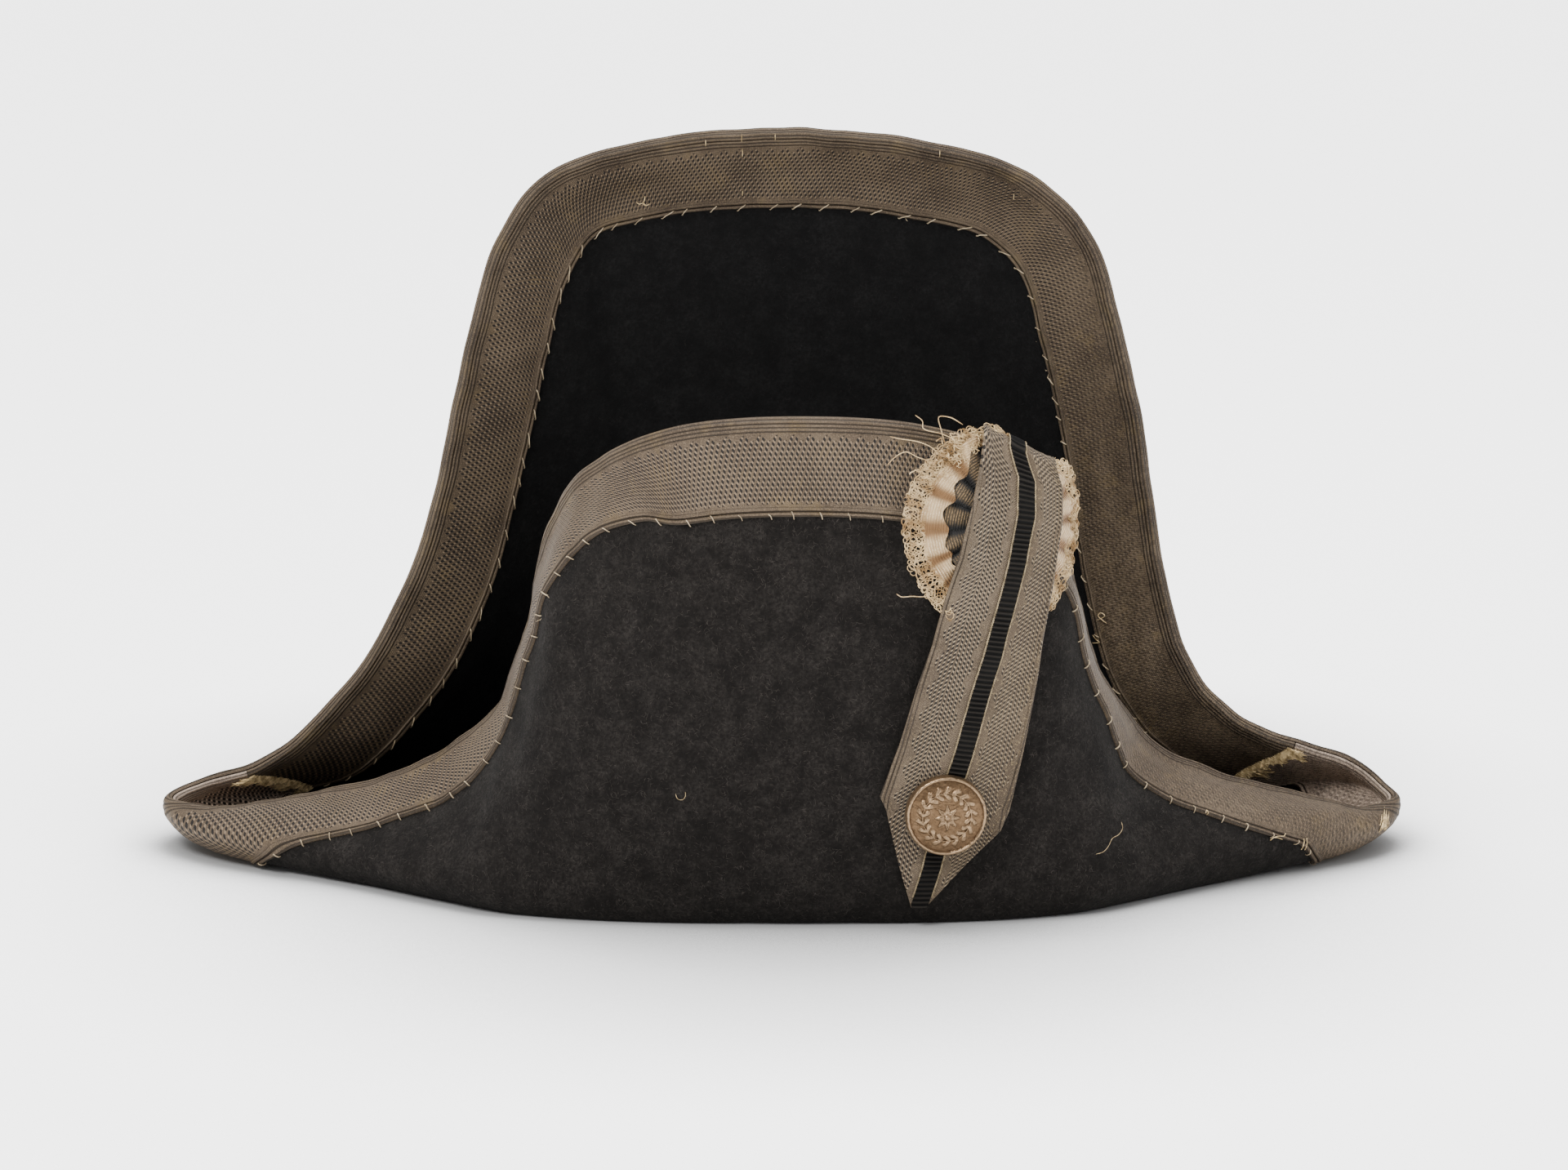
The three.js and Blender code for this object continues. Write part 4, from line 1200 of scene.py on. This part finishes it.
def fan_inner(angle):
    return 0 * angle + FAN_CENTRE


def fan_outer(angle):
    return FAN_RADIUS + FAN_REACH * upper_gap(angle)


def ruffle_inner(angle):
    scallops = 2.2 * pleat(angle, 1.4, RUFFLE_PHASE) + 0.5 * np.sin(11 * angle)
    return FAN_RADIUS - 1.6 + scallops + 8.5 * upper_gap(angle)


def ruffle_outer(angle):
    return NET_START + 0.7 + 0.5 * np.sin(13 * angle) + 3 * upper_gap(angle)


fan = round_sheet(
    "pleated_fan", fan_inner, fan_outer, fan_height, 0.0, FAN_THICKNESS, FAN_LOOK, 400, 24, "cockade_fan")
ruffle = round_sheet(
    "pleated_ribbon", ruffle_inner, ruffle_outer, ribbon_height, RUFFLE_PHASE, RUFFLE_THICKNESS, BAND_LOOK,
    480, 14, "cockade_lace")


def net_height(radius, angle):
    share = np.clip((radius - NET_START) / (RING_RADIUS - NET_START), 0, 1.2)
    return ribbon_height(np.minimum(radius, NET_START), angle) * (1 - 0.45 * share) + 0.2


NET_HOOPS = (29.6, 31.4, 33.4, 35.3)
NET_HOOP_RADIUS = 0.23
NET_THREADS = 215
NET_FOOT = 28.6
NET_CURLS = 150
TANGLE_THREADS = 85
THREADS_PAST_EDGE = (
    ((34, 2.35, 2), (38, 2.36, 2.4), (42, 2.40, 3.0), (47, 2.47, 3.4), (50, 2.50, 2.6)),
    ((35, 2.25, 2), (40, 2.20, 3.0), (44, 2.16, 4.0), (42, 2.09, 4.2), (38, 2.02, 3.0)),
    ((34, 2.45, 2), (39, 2.50, 3.0), (43, 2.52, 2.4), (45, 2.60, 2.0), (46, 2.68, 1.6)),
    ((35, 2.15, 2), (39, 2.22, 3.0), (44, 2.30, 3.0), (46, 2.27, 3.6), (49, 2.28, 3.0)),
    ((34, 3.84, 1), (37, 3.80, 1.4), (40, 3.74, 1.6), (43, 3.70, 1.2), (44, 3.66, 0.8)))


def make_net():
    """The openwork edge: hoops, radial loops that reach past them and small curls at the outside."""
    threads = Threads(5)
    for radius in NET_HOOPS:
        angle = np.linspace(0, 2 * math.pi, 420)
        waved = radius + 0.45 * np.sin(37 * angle + radius) + 0.3 * np.sin(61 * angle + 2 * radius)
        level = net_height(waved, angle) + 0.15 * np.sin(90 * angle)
        threads.add(cockade_point(waved, angle, level), NET_HOOP_RADIUS)
    for k in range(NET_THREADS):
        middle = 2 * math.pi * (k + random.uniform(-0.45, 0.45)) / NET_THREADS
        reach = random.uniform(33.8, 36.6)
        wide = random.uniform(0.012, 0.045)
        lean = random.normal(0, 0.02)
        tip = [reach - 0.5, reach, reach - 0.5]
        radius = np.array([NET_FOOT, 30.2, 31.8, 33.4, *tip, 33.2, 31.6, 30.0, NET_FOOT])
        aside = np.array([-0.6, 0.7, -0.6, 0.5, -0.9, 0.0, 0.9, -0.5, 0.6, -0.7, 0.6]) * wide
        angle = middle + aside + lean * (radius - NET_FOOT) / 8 + random.normal(0, 0.004, len(radius))
        level = net_height(radius, angle) + random.normal(0, 0.25, len(radius))
        threads.add(curve(cockade_point(radius, angle, level), 2), random.uniform(0.13, 0.24))
    for _ in range(NET_CURLS):
        middle = random.uniform(0, 2 * math.pi)
        turn = np.linspace(0, random.uniform(3.8, 6.0), 9) + random.uniform(0, 6)
        size = random.uniform(0.7, 1.5)
        radius = random.uniform(34.2, 36.0) + size * np.cos(turn)
        angle = middle + size * np.sin(turn) / 35
        threads.add(cockade_point(radius, angle, net_height(radius, angle) + random.uniform(-0.2, 0.8)), 0.15)
    return threads


def make_tangle(threads):
    """Bunched and loose threads at the cockade's upper left and at its lower end."""
    for _ in range(TANGLE_THREADS):
        steps = random.normal(0, 1, (9, 2)).cumsum(axis=0) * 0.75
        radius = np.clip(random.uniform(29, 35) + steps[:, 0], 26, 38)
        angle = random.uniform(1.95, 2.62) + steps[:, 1] / 34
        level = 1.8 + np.abs(random.normal(0, 1.0)) + random.normal(0, 0.3, 9)
        threads.add(curve(cockade_point(radius, angle, level), 3), random.uniform(0.12, 0.22))
    for path in THREADS_PAST_EDGE:
        radius, angle, level = np.array(path, float).T
        threads.add(curve(cockade_point(radius, angle, level), 5), 0.17)
    dress(threads.object("openwork_edge", CREAM), "cockade_lace", "cockade_lace")


make_tangle(make_net())
supports += [tree_of(fan), tree_of(ruffle)]

# Loop: a pointed strap of lace laid over the cockade, its top turned back over the rim

LOOP_STEPS = 12
LOOP_WAVES = {"scale": 22, "amount": 0.16, "seed": 21}
LOOP_TURN = ((2.4, 1.2), (5.2, 1.5), (8.6, 1.0), (12.0, -0.8), (14.5, -3.4))
SELVEDGE = 0.075
LOOP_SHARES = np.concatenate([
    np.linspace(0, SELVEDGE, 13),
    np.linspace(SELVEDGE, 1 - SELVEDGE, 26)[1:-1],
    np.linspace(1 - SELVEDGE, 1, 13)])


def loop_support():
    """The loop's back: in front of what lies behind it, nowhere hollow, then turned back over the rim."""
    rows = []
    for across, up, width, dip in zip(*(LOOP_SECTIONS[name] for name in ("across", "up", "width", "dip"))):
        row = []
        for share in np.linspace(-0.5, 0.5, 5):
            x = BELL_SHIFT + across * HALF_LENGTH + share * width * LOOP_WIDTH
            z = up * FRONT_HEIGHT - share * dip * LOOP_WIDTH
            row.append((x, front_around(x, z, LOOP_REACH) - 0.3, z))
        rows.append(row)
    back = np.array(rows)
    for line in back.transpose(1, 0, 2):
        for i in range(len(line)):
            for before in range(i):
                for after in range(i + 1, len(line)):
                    share = (line[i, 2] - line[before, 2]) / (line[after, 2] - line[before, 2])
                    line[i, 1] = min(line[i, 1], lerp(line[before, 1], line[after, 1], share))
    turned = [back[-1] + [0, backward, up] for backward, up in LOOP_TURN]
    return np.concatenate([back, turned])


def smooth_rows(grid, steps):
    """Rows between the rows of a grid: straight in x and z, smooth in y."""
    at = np.arange(len(grid))
    fine = np.linspace(0, len(grid) - 1, (len(grid) - 1) * steps + 1)
    result = np.empty((len(fine), grid.shape[1], 3))
    for j in range(grid.shape[1]):
        for axis in (0, 2):
            result[:, j, axis] = np.interp(fine, at, grid[:, j, axis])
        result[:, j, 1] = read_table({"at": at, "y": grid[:, j, 1]}, "at", "y", fine)
    return result, fine


def smooth_columns(grid, shares):
    padded = np.concatenate([2 * grid[:, :1] - grid[:, 1:2], grid, 2 * grid[:, -1:] - grid[:, -2:-1]], axis=1)
    columns = []
    for share in shares:
        place = share * (grid.shape[1] - 1)
        k = min(int(place), grid.shape[1] - 2)
        columns.append(between(*(padded[:, k + i] for i in range(4)), np.full(len(grid), place - k)))
    return np.stack(columns, axis=1)


loop_rows, loop_places = smooth_rows(loop_support(), LOOP_STEPS)
loop_back = smooth_columns(loop_rows, LOOP_SHARES)
loop_normals = grid_normals(loop_back, False)
loop_along = distances(loop_rows[:, 2])
loop_across = np.concatenate([
    np.zeros((len(loop_back), 1)), np.linalg.norm(np.diff(loop_back, axis=1), axis=2).cumsum(axis=1)], axis=1)
ribbon_share = np.interp(loop_places, np.arange(len(LOOP_SECTIONS["ribbon"])), LOOP_SECTIONS["ribbon"])
for i, share in enumerate(ribbon_share):
    loop_across[i] -= np.interp(share, LOOP_SHARES, loop_across[i])
loop_back += loop_normals * (wobble(loop_back, **LOOP_WAVES) - 0.05)[..., None]


def loop_point(along, across, height):
    """A point at a distance up the loop and one to the right of the ribbon's middle, over the loop's back."""
    row = place_in(loop_along, along)
    i = int(row)
    ends = []
    for k in (i, i + 1):
        place = [np.interp(across, loop_across[k], loop_back[k, :, axis]) for axis in range(3)]
        normal = [np.interp(across, loop_across[k], loop_normals[k, :, axis]) for axis in range(3)]
        ends.append(np.array(place) + np.array(normal) * height)
    return lerp(ends[0], ends[1], row - i)


def make_loop():
    width = loop_across[:, -1:] - loop_across[:, :1]
    edge = np.minimum(loop_across - loop_across[:, :1], loop_across[:, -1:] - loop_across)
    relief = rib(edge, 0.1, 1.3, 0.34) + rib(edge, 1.5, 2.6, 0.30)
    relief = relief * np.clip((width - 20) / 10, 0, 1)
    top = loop_back + loop_normals * (LOOP_THICKNESS - 0.3 + relief)[..., None]
    uv = surface(loop_along[:, None], loop_across)
    dress(solid_object("loop", top, loop_back, LOOP_LOOK, uv), "lace", "loop_lace")


CORD_SPACING = 1.6
CORD_HEIGHT = 0.24
TWIST_LENGTH = 1.7
TWIST_RADIUS = 0.17
EDGE_RADIUS = 0.19


def make_ribbon():
    """The corded ribbon along the loop's middle, with a thread of two twisted strands at each edge."""
    along = np.arange(0.2, loop_along[-1] - 0.2, 0.4)
    across = np.linspace(-RIBBON_WIDTH / 2, RIBBON_WIDTH / 2, 9)
    foot = LOOP_THICKNESS - 0.15
    top = []
    bottom = []
    for distance in along:
        cord = CORD_HEIGHT * math.cos(2 * math.pi * distance / CORD_SPACING)
        height = foot + 0.5 + cord * (1 - (2 * np.abs(across) / RIBBON_WIDTH) ** 6)
        top.append([loop_point(distance, v, over) for v, over in zip(across, height)])
        bottom.append([loop_point(distance, v, foot) for v in across])
    uv = surface(along[:, None], across[None, :])
    dress(solid_object("ribbon", np.array(top), np.array(bottom), RIBBON_LOOK, uv), "ribbon", "loop_ribbon")
    threads = Threads(4)
    fine = np.arange(4.0, loop_along[-1] - 0.5, 0.3)
    for side in (-1, 1):
        for strand in (0, math.pi):
            turn = 2 * math.pi * fine / TWIST_LENGTH + strand
            aside = side * (RIBBON_WIDTH / 2 + 0.25) + TWIST_RADIUS * np.cos(turn)
            height = foot + 0.35 + TWIST_RADIUS * np.sin(turn)
            threads.add([loop_point(*place) for place in zip(fine, aside, height)], EDGE_RADIUS)
    dress(threads.object("ribbon_edges", EDGE_THREAD), "ribbon")


make_loop()
make_ribbon()

# Button: a domed disc with a raised rim, a wreath of leaves and a small rosette

BUTTON_RINGS = 72
BUTTON_TURNS = 216
LEAVES = 18
PETALS = 8
BUTTON_SECTIONS = (2, 3)
BUTTON_LIFT = 0.9


def leaf(across, up, x, y, turn, length, width):
    """A small domed leaf with a vein along its middle."""
    a = (across - x) * math.cos(turn) + (up - y) * math.sin(turn)
    b = (up - y) * math.cos(turn) - (across - x) * math.sin(turn)
    inside = 1 - (a / length) ** 2 - (b / width * (1 + 0.5 * a / length)) ** 2
    return np.sqrt(np.clip(inside, 0, 1)) - 0.25 * (np.abs(b) < 0.12) * (inside > 0)


def button_relief(radius, angle):
    across = radius * np.cos(angle)
    up = radius * np.sin(angle)
    relief = np.zeros_like(radius)
    for k in range(LEAVES):
        middle = 2 * math.pi * (k + 0.5) / LEAVES
        for out, lean in ((9.3, 0.75), (7.4, -0.75)):
            turn = middle + math.pi / 2 + lean
            relief = np.maximum(relief, 0.42 * leaf(
                across, up, out * math.cos(middle), out * math.sin(middle), turn, 1.75, 0.72))
    relief = np.maximum(relief, 0.3 * rib(radius, 8.2, 8.6, 1.0))
    for k in range(PETALS):
        turn = 2 * math.pi * k / PETALS
        relief = np.maximum(relief, 0.45 * leaf(
            across, up, 2.7 * math.cos(turn), 2.7 * math.sin(turn), turn, 1.8, 0.85))
    relief = np.maximum(relief, 0.55 * np.sqrt(np.clip(1 - (radius / 1.1) ** 2, 0, 1)))
    return relief * (1.0 + 0.5 * np.clip(1.2 - 0.5 * np.sin(angle + 1) * radius / 12, 0, 1))


def make_button():
    radius = BUTTON_DIAMETER / 2 * np.linspace(1, 0.004, BUTTON_RINGS)[None, :]
    angle = 2 * math.pi * np.arange(BUTTON_TURNS)[:, None] / BUTTON_TURNS
    radius, angle = np.broadcast_arrays(radius, angle)
    share = radius / (BUTTON_DIAMETER / 2)
    dome = BUTTON_HEIGHT * (0.46 + 0.46 * (1 - share ** 2))
    lip = rib(share, 0.90, 0.995, 0.95)
    level = dome * (share < 0.995) + lip + button_relief(radius, angle) * (share < 0.9)
    level = np.where(share >= 0.995, BUTTON_HEIGHT * 0.30, level)
    level += 0.12 * np.sin(3 * angle + 1) * share ** 2 + 0.10 * np.sin(5 * angle) * share ** 3
    flat = np.stack([radius * np.cos(angle), radius * np.sin(angle), level], axis=2)
    back = flat.copy()
    back[..., 2] = np.where(share > 0.9, 0.5, 0.0)
    heights = (LOOP_SECTIONS["up"] * FRONT_HEIGHT)[list(BUTTON_SECTIONS)]
    up_loop = np.mean([loop_along[np.argmin(np.abs(loop_rows[:, 2, 2] - height))] for height in heights])
    middle = loop_point(up_loop, 0, LOOP_THICKNESS + BUTTON_LIFT)
    facing = unit(loop_point(up_loop, 0, 1) - loop_point(up_loop, 0, 0))
    upward = np.array([0.0, 0.0, 1.0])
    upward = unit(upward - facing * (upward @ facing))
    axes = np.array([np.cross(upward, facing), upward, facing])
    top = middle + flat @ axes
    bottom = middle + back @ axes
    uv = surface(button_relief(radius, angle) + 0.5 * (share > 0.9), radius)
    poles = [middle + np.array([0, 0, flat[0, -1, 2]]) @ axes, middle]
    piece = solid_object("button_disc", top, bottom, BUTTON_LOOK, uv, True, poles)
    piece.data.flip_normals()
    dress(piece, "button", "button")


make_button()

# Nap: short fibres lying on the felt

NAP_HALF_WIDTH = 0.045
NAP_ROOT = 0.05
NAP_ARCH = 0.28
NAP_LEANS = (0.1, 0.55)
GROUND_GAP = 0.03


def make_nap(name, look, face, count, longest):
    rows, columns = felt_middle.shape[:2]
    across = felt_middle[:, 1:] - felt_middle[:, :-1]
    along = np.roll(felt_middle, -1, axis=0)[:, :-1] - felt_middle[:, :-1]
    size = np.linalg.norm(np.cross(across, along), axis=2)
    first = len(FELT_LACE_SHARES)
    size[:, :first - 1] = 0
    size[:, first + WALL_STEPS + FOLD_STEPS if face < 0 else columns:] = 0
    chosen = random.choice(size.size, count, p=(size / size.sum()).ravel())
    i, j = np.divmod(chosen, columns - 1)
    a, b = random.random((2, count, 1))
    root = felt_middle[i, j] + across[i, j] * a + along[i, j] * b
    normal = felt_normals[i, j] * face
    tangent = unit(np.cross(normal, random.normal(size=(count, 3))))
    side = np.cross(normal, tangent)
    length = random.uniform(0.35, 1, (count, 1)) * longest
    bend = side * random.normal(0, 0.2, (count, 1)) * length
    root = root + normal * (FELT / 2 - NAP_ROOT)
    middle = root + tangent * length * 0.5 + normal * NAP_ARCH
    tip = root + tangent * length + normal * random.uniform(*NAP_LEANS, (count, 1)) + bend
    half = side * NAP_HALF_WIDTH
    vertices = np.stack([root - half, root + half, middle + half, middle - half, tip], axis=1).reshape(-1, 3)
    vertices[:, 2] = np.maximum(vertices[:, 2], GROUND_GAP)
    faces = []
    for start in range(0, 5 * count, 5):
        faces.append((start, start + 1, start + 2, start + 3))
        faces.append((start + 3, start + 2, start + 4))
    dress(mesh_object(name, vertices, faces, look), "felt")


NAP_OUTER = plain_look(
    "nap_outer", (0.005, 0.0039, 0.0032), (0.048, 0.041, 0.036), 3.0, 0.9, 0.1, 0.0, 0.05, 0.1)
NAP_INNER = plain_look(
    "nap_inner", (0.004, 0.0036, 0.0036), (0.022, 0.019, 0.018), 3.0, 0.9, 0.1, 0.0, 0.1, 0.1)
make_nap("nap_outer", NAP_OUTER, -1, 42000, 2.6)
make_nap("nap_inner", NAP_INNER, 1, 14000, 2.2)

# Stage and lights, in metres and watts

WHITE = (1, 1, 1)
FLOOR_TONE = (0.28, 0.28, 0.28)
FLOOR_REACH = 14.0
FLOOR_GLOW = 3.6
SHADE_DISTANCE = 0.2
SHADE_SAMPLES = 8
SHADE_POWER = 5.0
SKY_STRENGTH = 0.85
LIGHTS = (
    ("key", (-0.8, -1.2, 1.9), (0, 0, 0.1), 0.8, 50),
    ("fill", (1.4, -0.9, 1.0), (0, 0, 0.1), 1.2, 9),
    ("top", (0.1, 0.25, 1.9), (0, 0, 0.05), 1.0, 46),
)


def make_stage():
    """White paper that glows where it lies open and is dimmer where the hat shades it."""
    mesh = bpy.data.meshes.new("floor")
    corners = [(x * FLOOR_REACH, y * FLOOR_REACH, 0) for x, y in ((-1, -1), (1, -1), (1, 1), (-1, 1))]
    mesh.from_pydata(corners, [], [(0, 1, 2, 3)])
    floor = placed("floor", mesh)
    look = Look("white_paper")
    look.plug(WHITE, look.shader.inputs["Emission Color"])
    shade = look.tree.nodes.new("ShaderNodeAmbientOcclusion")
    shade.samples = SHADE_SAMPLES
    look.plug(SHADE_DISTANCE, shade.inputs["Distance"])
    glow = look.times(look.calc("POWER", shade.outputs["AO"], SHADE_POWER), FLOOR_GLOW)
    look.plug(glow, look.shader.inputs["Emission Strength"])
    mesh.materials.append(look.finish(FLOOR_TONE, 0.9))
    world = bpy.data.worlds.new("studio")
    bpy.context.scene.world = world
    world.use_nodes = True
    sky = world.node_tree.nodes["Background"]
    look.plug(WHITE, sky.inputs["Color"])
    look.plug(SKY_STRENGTH, sky.inputs["Strength"])


def make_light(name, place, target, size, power):
    data = bpy.data.lights.new(name, "AREA")
    data.energy = power
    data.size = size
    light = placed(name, data)
    light.location = place
    light.rotation_euler = (Vector(place) - Vector(target)).to_track_quat("Z", "Y").to_euler()


make_stage()
for values in LIGHTS:
    make_light(*values)
